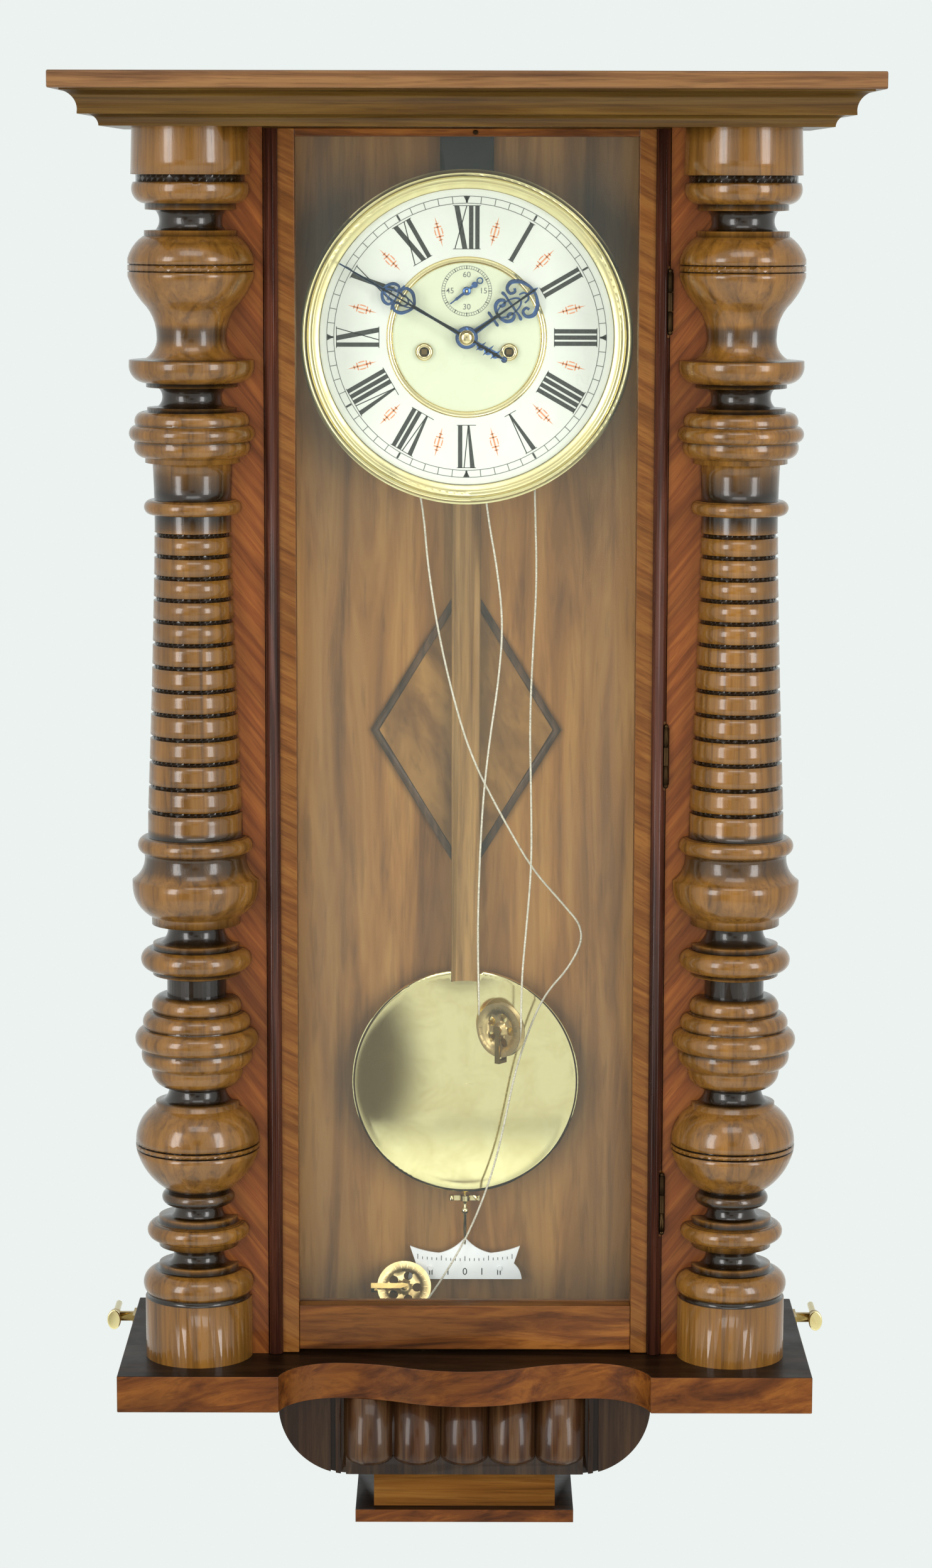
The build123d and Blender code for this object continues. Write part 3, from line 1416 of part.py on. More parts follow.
for name, route in (("going", going_route), ("strike", strike_route)):
    points = [Vector(x, at(depth), dial_z + height) for x, depth, height in route]
    radii = corner_radii(points)
    print(name, "line: least bend radius", round(min(radii), 1))
    with BuildPart() as line:
        with BuildLine() as path:
            FilletPolyline(*points, radius=radii)
        with BuildSketch(path.line ^ 0):
            Circle(line_diameter / 2)
        sweep(path=path.line)
    section = pi * line_diameter**2 / 4
    length = path.line.wires()[0].length
    print(name, "line: length", round(length, 1), "volume", round(line.part.volume, 1))
    print(name, "line: section times length", round(section * length, 1))
    line.part.label = f"{name}_line"
    export_step(line.part, f"parts/{name}_line.step")
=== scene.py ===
"""A weight-driven wall clock in a glazed walnut case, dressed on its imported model.

Metres, Z up. The clock faces -Y and its flat back is the plane y = 0, as in the model. Dial pieces are drawn
in millimetres on a flat sheet, sideways and outwards from the dial's centre, and then set in place.
"""

import json
import math
from math import cos, hypot, pi, radians, sin

import bmesh
import bpy
from mathutils import Matrix, Vector

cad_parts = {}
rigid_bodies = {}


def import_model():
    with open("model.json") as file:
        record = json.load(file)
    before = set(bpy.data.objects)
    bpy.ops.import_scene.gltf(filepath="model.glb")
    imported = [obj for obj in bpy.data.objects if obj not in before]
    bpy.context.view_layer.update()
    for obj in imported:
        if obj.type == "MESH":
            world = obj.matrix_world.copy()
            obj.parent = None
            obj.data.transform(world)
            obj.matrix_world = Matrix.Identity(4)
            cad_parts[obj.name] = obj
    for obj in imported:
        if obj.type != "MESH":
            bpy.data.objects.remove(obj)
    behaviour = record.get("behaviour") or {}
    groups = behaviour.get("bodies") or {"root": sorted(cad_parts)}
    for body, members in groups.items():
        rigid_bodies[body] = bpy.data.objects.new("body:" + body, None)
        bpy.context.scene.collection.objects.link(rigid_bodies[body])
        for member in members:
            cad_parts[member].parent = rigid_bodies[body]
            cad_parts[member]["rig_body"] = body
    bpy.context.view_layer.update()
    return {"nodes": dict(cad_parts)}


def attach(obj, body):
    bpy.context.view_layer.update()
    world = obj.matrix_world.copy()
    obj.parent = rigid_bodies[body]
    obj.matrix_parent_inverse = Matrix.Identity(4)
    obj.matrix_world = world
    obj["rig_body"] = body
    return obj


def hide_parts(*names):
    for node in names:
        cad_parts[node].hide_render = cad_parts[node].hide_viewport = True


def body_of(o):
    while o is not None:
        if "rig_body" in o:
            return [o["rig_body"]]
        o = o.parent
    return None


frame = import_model()
NODES = frame["nodes"]

DOOR_FRONT = -0.124
DIAL_HEIGHT = -0.132
COLUMN_SIDE = 0.1623


def spot(x, depth, height):
    """A place given in millimetres as in the model's source: sideways, back from the door, over the dial."""
    return Vector((x / 1000, DOOR_FRONT + depth / 1000, DIAL_HEIGHT + height / 1000))


def show(thing):
    """Adds an object to the scene."""
    bpy.context.scene.collection.objects.link(thing)


# Camera, at the place and tilt that the case's straight edges gave
lens = bpy.data.cameras.new("camera")
lens.lens = 92.17
lens.sensor_width = 36.0
camera = bpy.data.objects.new("camera", lens)
camera.location = (0.00066, -2.50371, -0.03905)
camera.rotation_euler = (pi / 2 - 0.14911, -0.00194, 0.00051)
show(camera)
bpy.context.scene.camera = camera


def shade(mesh, angle):
    """Smooth shading that keeps edges sharper than an angle crisp."""
    mesh.shade_smooth()
    mesh.set_sharp_from_angle(angle=radians(angle))


def place(name, mesh, body, material, stands_for=()):
    """Makes a piece of a mesh, on a body, in a finish."""
    thing = bpy.data.objects.new(name, mesh)
    show(thing)
    mesh.materials.clear()
    mesh.materials.append(material)
    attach(thing, body)
    if stands_for:
        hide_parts(*stands_for)
    return thing


def mesh_of(name, shape):
    """A mesh from a bmesh."""
    mesh = bpy.data.meshes.new(name)
    shape.to_mesh(mesh)
    shape.free()
    return mesh


# Gut lines: the points are those of the model's routes
GUT = 0.0013
LINE_TURN = 15.95
PULLEY_TURN = radians(38)
PULLEY_X, PULLEY_DEPTH, PULLEY_LEVEL = 22.1, 74.0, -430.7
TURN_X = LINE_TURN * cos(PULLEY_TURN)
TURN_DEPTH = LINE_TURN * sin(PULLEY_TURN)
GOING_LENGTH, STRIKE_LENGTH, WOUND_LENGTH = 0.845, 0.672, 0.471
going_points = [
    (9.0, 72.0, -55.9),
    (10.0, 72.0, -82.0),
    (13.5, 71.5, -112.0),
    (19.0, 71.5, -142.0),
    (22.8, 72.0, -176.0),
    (20.0, 72.5, -212.0),
    (14.6, 73.5, -248.0),
    (10.6, 75.0, -286.0),
    (8.6, 78.0, -326.0),
    (7.6, 81.8, -366.0),
    (8.0, 85.0, -400.0),
    (PULLEY_X - TURN_X, PULLEY_DEPTH + TURN_DEPTH, PULLEY_LEVEL - LINE_TURN),
    (PULLEY_X + TURN_X, PULLEY_DEPTH - TURN_DEPTH, PULLEY_LEVEL - LINE_TURN),
    (34.6, 64.3, -400.0),
    (37.6, 67.0, -366.0),
    (40.9, 69.0, -326.0),
    (40.4, 70.5, -282.0),
    (39.3, 71.5, -238.0),
    (41.0, 72.0, -194.0),
    (43.4, 72.0, -150.0),
    (42.2, 71.5, -108.0),
    (41.0, 69.8, -68.0),
    (40.7, 67.5, -34.0),
    (40.5, 66.45, -9.0),
]
strike_points = [
    (-40.5, 66.45, -9.0),
    (-39.9, 67.6, -36.0),
    (-34.0, 69.8, -68.0),
    (-26.4, 71.5, -104.0),
    (-23.6, 72.4, -140.0),
    (-17.4, 73.6, -180.0),
    (-8.0, 76.0, -222.0),
    (3.5, 78.4, -260.0),
    (21.9, 79.4, -296.0),
    (41.3, 79.8, -330.0),
    (59.0, 80.2, -350.0),
    (75.0, 80.6, -369.0),
    (66.0, 81.0, -391.0),
    (49.0, 81.2, -410.0),
    (39.0, 81.4, -434.0),
    (31.0, 81.5, -460.0),
    (25.5, 82.0, -488.0),
    (19.0, 82.0, -518.0),
    (9.0, 82.0, -548.0),
    (-3.0, 82.0, -574.0),
    (-17.0, 82.0, -597.0),
    (-27.0, 80.0, -611.0),
    (-39.0, 76.0, -616.4),
    (-50.0, 72.0, -616.5),
]


def colour(red, green, blue):
    """A colour written as seen, from 0 to 255, as the shader's own numbers."""
    parts = []
    for part in (red, green, blue):
        part = part / 255
        parts.append(part / 12.92 if part <= 0.04045 else ((part + 0.055) / 1.055) ** 2.4)
    return (*parts, 1.0)


class Finish:
    """A material and a few words for building its nodes."""

    def __init__(self, name):
        self.material = bpy.data.materials.new(name)
        self.material.use_nodes = True
        self.tree = self.material.node_tree
        self.surface = self.tree.nodes["Principled BSDF"]
        self.sheet = self.tree.nodes["Material Output"]

    def node(self, kind, **settings):
        made = self.tree.nodes.new("ShaderNode" + kind)
        for name, value in settings.items():
            setattr(made, name, value)
        return made

    def join(self, source, target):
        self.tree.links.new(source, target)

    def coordinates(self, scale=(1, 1, 1), turn=(0, 0, 0), shift=(0, 0, 0)):
        """The piece's own coordinates, moved so that a pattern starts at a place, then turned and scaled."""
        start = self.node("TexCoord")
        moved = self.node("Mapping")
        moved.inputs["Location"].default_value = shift
        self.join(start.outputs["Object"], moved.inputs["Vector"])
        turned = self.node("Mapping")
        turned.inputs["Rotation"].default_value = turn
        self.join(moved.outputs["Vector"], turned.inputs["Vector"])
        scaled = self.node("Mapping")
        scaled.inputs["Scale"].default_value = scale
        self.join(turned.outputs["Vector"], scaled.inputs["Vector"])
        return scaled.outputs["Vector"]

    def speckle(self, vector, scale, detail=4.0, rough=0.55, bend=0.0):
        """A noise pattern's factor."""
        made = self.node("TexNoise")
        made.inputs["Scale"].default_value = scale
        made.inputs["Detail"].default_value = detail
        made.inputs["Roughness"].default_value = rough
        made.inputs["Distortion"].default_value = bend
        self.join(vector, made.inputs["Vector"])
        return made.outputs["Fac"]

    def ramp(self, source, stops, ease="LINEAR"):
        """Colours or levels at stops along a factor."""
        made = self.node("ValToRGB")
        made.color_ramp.interpolation = ease
        marks = made.color_ramp.elements
        while len(marks) < len(stops):
            marks.new(0.5)
        for mark, (at, shade_of) in zip(marks, stops):
            mark.position = at
            mark.color = shade_of if isinstance(shade_of, tuple) else (shade_of, shade_of, shade_of, 1)
        self.join(source, made.inputs["Fac"])
        return made.outputs["Color"]

    def blend(self, share, first, second, how="MIX"):
        """Two colours mixed by a share, which is a number or a socket."""
        made = self.node("Mix", data_type="RGBA", blend_type=how)
        for socket, value in ((0, share), (6, first), (7, second)):
            if isinstance(value, (int, float, tuple)):
                made.inputs[socket].default_value = value
            else:
                self.join(value, made.inputs[socket])
        return made.outputs[2]

    def spread(self, source, low, high, new_low, new_high):
        """A factor's range stretched to new levels."""
        made = self.node("MapRange")
        levels = {"From Min": low, "From Max": high, "To Min": new_low, "To Max": new_high}
        for socket, value in levels.items():
            made.inputs[socket].default_value = value
        self.join(source, made.inputs["Value"])
        return made.outputs["Result"]

    def relief(self, height, strength, distance):
        """A bump from a height factor, on the surface."""
        made = self.node("Bump")
        made.inputs["Strength"].default_value = strength
        made.inputs["Distance"].default_value = distance
        self.join(height, made.inputs["Height"])
        self.join(made.outputs["Normal"], self.surface.inputs["Normal"])

    def set(self, **levels):
        """Plain numbers and colours on the shader's own sockets."""
        for name, value in levels.items():
            self.surface.inputs[name.replace("_", " ")].default_value = value


def polished_wood(name, dark, middle, light, scale, turn=(0, 0, 0), figure=0.5, hollow_shade=None,
                  sheen=0.32, gloss=0.55, pores=0.5, shine=0.15):
    """French polished walnut: streaks one way, broader figure, open pores, and where asked, painted shade
    darkening the hollows with a slight painted highlight on the swells.
    """
    wood = Finish(name)
    along = wood.coordinates(scale, turn)
    broad = wood.speckle(along, 0.16, 3.0, 0.5, 1.6)
    streak = wood.speckle(along, 1.0, 6.0, 0.62, 0.7)
    fine = wood.speckle(along, 4.5, 3.0, 0.6)
    base = wood.ramp(streak, [(0.30, dark), (0.47, middle), (0.62, light), (0.8, middle)])
    cloud = wood.ramp(broad, [(0.34, 0.55), (0.5, 0.95), (0.68, 1.22)])
    shaded = wood.blend(figure, base, cloud, "MULTIPLY")
    pore = wood.ramp(fine, [(0.36, 0.35), (0.44, 1.0)])
    toned = wood.blend(pores, shaded, pore, "MULTIPLY")
    if hollow_shade:
        # Painted shade: darker the deeper a point lies in a hollow, slightly lighter on the swells
        shade_depth = wood.node("Attribute", attribute_name="shade_depth")
        painted_shade = wood.ramp(shade_depth.outputs["Fac"], [(0.0, hollow_shade[0]), (0.35, hollow_shade[1]), (0.8, hollow_shade[2])])
        toned = wood.blend(1.0, toned, painted_shade, "MULTIPLY")
    wood.join(toned, wood.surface.inputs["Base Color"])
    smear = wood.speckle(wood.coordinates((28, 28, 28)), 1.0, 4.0, 0.6)
    wood.join(wood.spread(smear, 0.3, 0.7, sheen - 0.06, sheen + 0.1), wood.surface.inputs["Roughness"])
    wood.relief(pore, 0.12, 0.0004)
    wood.set(Coat_Weight=gloss * 0.5, Coat_Roughness=0.1, IOR=1.5, Specular_IOR_Level=shine)
    return wood.material


def polished_brass(name, bright, dull, rough=0.16, tarnish=0.35):
    """Lacquered brass: a bright metal with soft tarnish and small dark spots."""
    brass = Finish(name)
    own = brass.coordinates((1, 1, 1))
    patch = brass.speckle(own, 38.0, 5.0, 0.65, 0.6)
    spots = brass.speckle(own, 420.0, 3.0, 0.7)
    worn = brass.ramp(patch, [(0.42, 0.0), (0.72, 1.0)])
    tone = brass.blend(worn, bright, dull)
    dotted = brass.ramp(spots, [(0.28, 0.72), (0.36, 1.0)])
    brass.join(brass.blend(tarnish, tone, dotted, "MULTIPLY"), brass.surface.inputs["Base Color"])
    brass.join(brass.spread(patch, 0.3, 0.8, rough * 0.7, rough * 1.6), brass.surface.inputs["Roughness"])
    brass.set(Metallic=1.0)
    return brass.material


def plain_metal(name, first, second, rough, metallic=1.0, scale=120.0, dent=0.0):
    """Steel or iron: two tones in soft patches, with an uneven gloss."""
    metal = Finish(name)
    patch = metal.speckle(metal.coordinates(), scale, 5.0, 0.6)
    mixed = metal.blend(metal.ramp(patch, [(0.35, 0.0), (0.68, 1.0)]), first, second)
    metal.join(mixed, metal.surface.inputs["Base Color"])
    metal.join(metal.spread(patch, 0.3, 0.8, rough * 0.75, rough * 1.4), metal.surface.inputs["Roughness"])
    if dent:
        metal.relief(patch, dent, 0.0006)
    metal.set(Metallic=metallic)
    return metal.material


def fired_enamel(name, pale, shaded, rough=0.22):
    """White enamel with faint clouding, hairlines and an orange-peel skin."""
    enamel = Finish(name)
    cloud = enamel.speckle(enamel.coordinates(), 26.0, 4.0, 0.6)
    tone = enamel.blend(enamel.ramp(cloud, [(0.3, 0.0), (0.75, 1.0)]), pale, shaded)
    cracks = enamel.node("TexVoronoi", feature="DISTANCE_TO_EDGE")
    cracks.inputs["Scale"].default_value = 31.0
    wander = enamel.node("TexNoise")
    wander.inputs["Scale"].default_value = 60.0
    enamel.join(enamel.coordinates(), wander.inputs["Vector"])
    moved = enamel.node("VectorMath", operation="MULTIPLY_ADD")
    enamel.join(wander.outputs["Color"], moved.inputs[0])
    moved.inputs[1].default_value = (0.012, 0.012, 0.012)
    enamel.join(enamel.coordinates(), moved.inputs[2])
    enamel.join(moved.outputs["Vector"], cracks.inputs["Vector"])
    hair = enamel.ramp(cracks.outputs["Distance"], [(0.0, 0.9), (0.006, 1.0)])
    enamel.join(enamel.blend(0.6, tone, hair, "MULTIPLY"), enamel.surface.inputs["Base Color"])
    skin = enamel.speckle(enamel.coordinates(), 500.0, 2.0)
    enamel.relief(skin, 0.04, 0.0001)
    enamel.set(Roughness=rough, Coat_Weight=0.4, Coat_Roughness=0.08)
    return enamel.material


def printed(name, ink, second, rough=0.35):
    """Painted marks, slightly uneven in tone as brushed or transferred colour is."""
    mark = Finish(name)
    patch = mark.speckle(mark.coordinates(), 700.0, 3.0)
    toned = mark.blend(mark.ramp(patch, [(0.35, 0.0), (0.7, 1.0)]), ink, second)
    mark.join(toned, mark.surface.inputs["Base Color"])
    mark.set(Roughness=rough)
    return mark.material


def clear_glass(name, haze, share):
    """Old window glass: mostly clear, with a sharp shine and a faint grey film that is a painted reflection
    haze.
    """
    glass = Finish(name)
    clear = glass.node("BsdfTransparent")
    # Painted reflection haze: a faint grey layer in soft patches over the clear glass
    painted_haze_pattern = glass.speckle(glass.coordinates((3, 3, 1.4)), 2.2, 5.0, 0.6, 0.8)
    amount = glass.spread(painted_haze_pattern, 0.3, 0.75, 0.035 + share * 0.6, 0.035 + share * 1.5)
    mixed = glass.node("MixShader")
    glass.join(amount, mixed.inputs["Fac"])
    glass.join(clear.outputs["BSDF"], mixed.inputs[1])
    glass.join(glass.surface.outputs["BSDF"], mixed.inputs[2])
    glass.join(mixed.outputs["Shader"], glass.sheet.inputs["Surface"])
    glass.set(Base_Color=haze, Roughness=0.03, IOR=1.45)
    return glass.material


def twisted_gut(name):
    """Gut line: pale, slightly see-through in tone, with its twist showing as slanting bands."""
    gut = Finish(name)
    bands = gut.speckle(gut.coordinates((1, 1, 2.4)), 900.0, 2.0)
    twist = [(0.35, colour(150, 144, 122)), (0.55, colour(196, 192, 170)), (0.75, colour(222, 219, 200))]
    tone = gut.ramp(bands, twist)
    gut.join(tone, gut.surface.inputs["Base Color"])
    gut.relief(bands, 0.2, 0.0002)
    gut.set(Roughness=0.42)
    return gut.material


# Finishes; a wood's streaks run the way its scale is smallest
UP = (170.0, 170.0, 6.0)
ACROSS = (6.0, 170.0, 170.0)
# Column walnut: painted shade in the hollows and a slight painted highlight on the swells
column_wood = polished_wood(
    "column_walnut", colour(72, 46, 14), colour(100, 66, 22), colour(112, 76, 28), UP, figure=0.75,
    hollow_shade=(1.08, 0.42, 0.07), sheen=0.26, gloss=1.0, pores=0.2, shine=0.35,
)
cornice_wood = polished_wood(
    "cornice_walnut", colour(54, 34, 8), colour(74, 50, 14), colour(88, 63, 22), ACROSS, figure=0.6,
    sheen=0.36, gloss=0.4, pores=0.3,
)
edge_wood = polished_wood("cornice_edge", colour(68, 44, 25), colour(94, 64, 38), colour(117, 84, 51), ACROSS,
                          figure=0.7, sheen=0.42, gloss=0.3, pores=0.4)
stile_left = polished_wood(
    "slanting_veneer_left", colour(78, 39, 13), colour(97, 51, 20), colour(113, 65, 26),
    (200.0, 200.0, 9.0), turn=(0, radians(38), 0), figure=0.6, sheen=0.34, gloss=0.4, pores=0.3,
)
stile_right = polished_wood(
    "slanting_veneer_right", colour(78, 39, 13), colour(97, 51, 20), colour(113, 65, 26),
    (200.0, 200.0, 9.0), turn=(0, radians(-38), 0), figure=0.6, sheen=0.34, gloss=0.4, pores=0.3,
)
banding = polished_wood(
    "cross_banding", colour(75, 42, 13), colour(95, 56, 21), colour(109, 70, 29), (260.0, 260.0, 20.0),
    turn=(0, radians(62), 0), figure=0.4, sheen=0.34, gloss=0.4, pores=0.3,
)
back_wood = polished_wood("back_walnut", colour(103, 67, 29), colour(138, 95, 45), colour(156, 114, 59),
                          (60.0, 60.0, 5.0), figure=0.9, sheen=0.45, gloss=0.2, pores=0.25)
panel_wood = polished_wood(
    "lozenge_walnut", colour(94, 63, 29), colour(131, 94, 47), colour(153, 114, 60), (40.0, 60.0, 16.0),
    turn=(0, radians(24), 0), figure=0.9, sheen=0.42, gloss=0.25, pores=0.25,
)
side_wood = polished_wood("side_walnut", colour(63, 36, 12), colour(88, 53, 20), colour(106, 70, 30), UP,
                          figure=0.6, sheen=0.4, gloss=0.35, pores=0.3)
rail_wood = polished_wood("rail_walnut", colour(57, 31, 12), colour(93, 52, 20), colour(120, 74, 30),
                          (12.0, 110.0, 110.0), figure=0.9, sheen=0.34, gloss=0.4, pores=0.3)
shelf_wood = polished_wood(
    "shelf_walnut", colour(50, 22, 4), colour(81, 42, 11), colour(104, 60, 19), (20.0, 90.0, 90.0),
    turn=(0, radians(12), 0), figure=0.95, sheen=0.44, gloss=0.1, pores=0.3,
)
shelf_black = polished_wood("shelf_top", colour(14, 7, 3), colour(24, 12, 5), colour(38, 23, 11),
                            (10.0, 90.0, 90.0), figure=0.7, sheen=0.4, gloss=0.1, pores=0.3, shine=0.08)
# Apron walnut: painted shade behind the lobes and a slight painted highlight on their fronts
apron_wood = polished_wood("apron_walnut", colour(31, 15, 6), colour(53, 31, 15), colour(73, 50, 29), UP,
                           figure=0.6, hollow_shade=(1.1, 0.5, 0.2), sheen=0.28, gloss=0.5, pores=0.3)
base_wood = polished_wood("base_walnut", colour(78, 46, 16), colour(106, 67, 26), colour(123, 83, 36), ACROSS,
                          figure=0.6, sheen=0.36, gloss=0.35, pores=0.3)
lozenge_edge = polished_wood(
    "lozenge_edge", colour(46, 34, 24), colour(68, 51, 36), colour(88, 66, 46), UP, figure=0.5, sheen=0.4,
    gloss=0.2, pores=0.3,
)
dark_red = polished_wood("dark_moulding", colour(30, 14, 10), colour(50, 25, 17), colour(74, 40, 27), UP,
                         figure=0.5, sheen=0.26, gloss=0.6, pores=0.3)
rod_wood = polished_wood("rod_walnut", colour(93, 65, 34), colour(125, 94, 51), colour(148, 115, 66), UP,
                         figure=0.4, sheen=0.4, gloss=0.3, pores=0.3)
bright_brass = polished_brass("bright_brass", colour(246, 230, 172), colour(228, 206, 142), 0.2)
bezel_brass = polished_brass("spun_brass", colour(238, 228, 168), colour(228, 214, 152), 0.34, tarnish=0.1)
bob_brass = polished_brass("bob_brass", colour(250, 238, 176), colour(236, 220, 154), 0.1, tarnish=0.15)
old_brass = polished_brass("old_brass", colour(176, 150, 92), colour(122, 98, 54), 0.3, tarnish=0.7)
pulley_brass = polished_brass("pulley_brass", colour(222, 198, 140), colour(168, 142, 90), 0.34, tarnish=0.6)
# Darker, tarnished brass for the works behind the dial: its darkness is painted shade inside the movement
shaded_works_brass = polished_brass("shaded_works_brass", colour(150, 124, 72), colour(108, 86, 48), 0.34, tarnish=0.6)
dark_brass = polished_brass("dark_brass", colour(62, 46, 28), colour(40, 30, 20), 0.45, tarnish=0.8)
gilt = polished_brass("gilt_ring", colour(248, 236, 180), colour(232, 214, 150), 0.26, tarnish=0.2)
steel = plain_metal("steel", colour(170, 170, 168), colour(128, 126, 122), 0.28)
iron = plain_metal("black_iron", colour(32, 32, 34), colour(52, 50, 50), 0.5, metallic=0.6, dent=0.3)
blued = plain_metal("blued_steel", colour(84, 128, 190), colour(34, 46, 78), 0.26, metallic=0.9, scale=60.0)
ring_enamel = fired_enamel("ring_enamel", colour(204, 209, 198), colour(196, 202, 189))
centre_enamel = fired_enamel("centre_enamel", colour(196, 203, 174), colour(188, 196, 165))
scale_enamel = fired_enamel("scale_enamel", colour(246, 250, 246), colour(232, 238, 236))
black_paint = printed("black_paint", colour(28, 30, 28), colour(48, 50, 46))
grey_paint = printed("grey_paint", colour(84, 88, 82), colour(106, 110, 104))
tan_paint = printed("tan_paint", colour(206, 128, 84), colour(200, 144, 100))
# Both panes carry the painted grey reflection haze
door_pane = clear_glass("door_glass", colour(150, 158, 150), 0.018)
side_pane = clear_glass("side_glass", colour(150, 158, 150), 0.02)
gut = twisted_gut("gut")


def gut_tube(name, corners, steps):
    """A tube of gut on one smooth curve, led by given corners."""
    curve = bpy.data.curves.new(name, "CURVE")
    curve.dimensions = "3D"
    curve.bevel_depth = GUT / 2
    curve.bevel_resolution = 3
    curve.resolution_u = steps
    spline = curve.splines.new("NURBS")
    spline.points.add(len(corners) - 1)
    for point, corner in zip(spline.points, corners):
        point.co = (*spot(*corner), 1)
    spline.order_u = 3
    spline.use_endpoint_u = True
    curve.materials.append(gut)
    line = bpy.data.objects.new(name, curve)
    show(line)
    return line


def gut_line(name, points, node, length):
    """A hanging gut line on the model's own route."""
    line = gut_tube(name, points, 10)
    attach(line, "case")
    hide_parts(node)
    spot(*points[0])


gut_line("going_gut", going_points, "going_line", GOING_LENGTH)
gut_line("strike_gut", strike_points, "strike_line", STRIKE_LENGTH)


# Light: two tall soft boxes at the sides, one overhead, two near the camera that light the inside of the
# case and do not show as reflections, and an even pale room
CASE_MIDDLE = (0, -0.1, -0.4)


def soft_box(name, where, aim, width, height, power, mirrored=True):
    """A soft rectangular lamp that faces a place."""
    lamp = bpy.data.lights.new(name, "AREA")
    lamp.shape = "RECTANGLE"
    lamp.size = width
    lamp.size_y = height
    lamp.energy = power
    thing = bpy.data.objects.new(name, lamp)
    thing.visible_glossy = mirrored
    thing.location = where
    thing.rotation_euler = (Vector(aim) - Vector(where)).to_track_quat("-Z", "Y").to_euler()
    show(thing)


soft_box("left_light", (-1.7, -2.0, 0.1), CASE_MIDDLE, 0.7, 2.0, 36)
soft_box("right_light", (1.7, -2.0, 0.1), CASE_MIDDLE, 0.7, 2.0, 36)
soft_box("top_light", (0.0, -1.8, 1.7), CASE_MIDDLE, 1.6, 0.8, 14)
soft_box("near_left_light", (-0.85, -2.6, -0.35), CASE_MIDDLE, 0.5, 1.0, 21, mirrored=False)
soft_box("near_right_light", (0.85, -2.6, -0.35), CASE_MIDDLE, 0.5, 1.0, 21, mirrored=False)

ROOM_SEEN = colour(236, 242, 240)
world = bpy.data.worlds.new("room")
bpy.context.scene.world = world
world.use_nodes = True
room = world.node_tree
room.nodes.clear()
seen = room.nodes.new("ShaderNodeBackground")
seen.inputs["Color"].default_value = ROOM_SEEN
seen.inputs["Strength"].default_value = 1.0
lit = room.nodes.new("ShaderNodeBackground")
lit.inputs["Color"].default_value = (1.0, 1.0, 0.985, 1)
lit.inputs["Strength"].default_value = 0.6
rays = room.nodes.new("ShaderNodeLightPath")
direct = room.nodes.new("ShaderNodeMath")
direct.operation = "MAXIMUM"
shining = room.nodes.new("ShaderNodeMath")
shining.operation = "MAXIMUM"
choice = room.nodes.new("ShaderNodeMixShader")
sky = room.nodes.new("ShaderNodeOutputWorld")
room.links.new(rays.outputs["Is Camera Ray"], direct.inputs[0])
room.links.new(rays.outputs["Is Glossy Ray"], direct.inputs[1])
room.links.new(direct.outputs[0], shining.inputs[0])
room.links.new(rays.outputs["Is Transmission Ray"], shining.inputs[1])
room.links.new(shining.outputs[0], choice.inputs["Fac"])
room.links.new(lit.outputs["Background"], choice.inputs[1])
room.links.new(seen.outputs["Background"], choice.inputs[2])
room.links.new(choice.outputs["Shader"], sky.inputs["Surface"])

floor_shape = bmesh.new()
bmesh.ops.create_grid(floor_shape, x_segments=1, y_segments=1, size=2.2)
floor_mesh = mesh_of("floor", floor_shape)
floor_mesh.transform(Matrix.Translation((0, -1.0, -1.75)))
floor = bpy.data.objects.new("floor", floor_mesh)
show(floor)
ground = Finish("floor")
ground.set(Base_Color=colour(226, 234, 232), Roughness=0.9)
floor_mesh.materials.append(ground.material)

bpy.context.scene.view_settings.view_transform = "Standard"


def cad_copy(node):
    """A copy of a CAD node's mesh with its doubled points merged."""
    shape = bmesh.new()
    shape.from_mesh(NODES[node].data)
    bmesh.ops.remove_doubles(shape, verts=shape.verts, dist=1e-6)
    return shape


def dress(node, material, slot, angle=30, edge=0.0, shade_depth=None):
    """A CAD node's own shape as a smoothly shaded piece, its sharp edges softened where edge is given, and
    the depth of its painted shade stored on its points where that is given.
    """
    shape = cad_copy(node)
    if edge:
        bmesh.ops.dissolve_limit(shape, angle_limit=radians(1), verts=shape.verts, edges=shape.edges)
    mesh = mesh_of(node + "_piece", shape)
    body = body_of(NODES[node])[0]
    piece = place(node + "_piece", mesh, body, material, (node,))
    shade(mesh, angle)
    if edge:
        softened = piece.modifiers.new("edge", "BEVEL")
        softened.width = edge
        softened.segments = 2
        softened.limit_method = "ANGLE"
        softened.angle_limit = radians(40)
        softened.harden_normals = True
    # Stores how deep each point lies, for the painted shade in the walnut's colour
    if shade_depth:
        shares = mesh.attributes.new("shade_depth", "FLOAT", "POINT")
        for vertex, share in zip(mesh.vertices, shade_depth(mesh)):
            shares.data[vertex.index].value = share
    return piece


# Reaches and depths over which painted shade darkens the columns' grooves and waists and the apron behind its
# lobes
LEVEL_STEP = 0.0005
GROOVE_REACH, GROOVE_DEPTH = 8, 0.0014
WAIST_REACH, WAIST_DEPTH = 30, 0.008
LOBE_DEPTH = 0.022


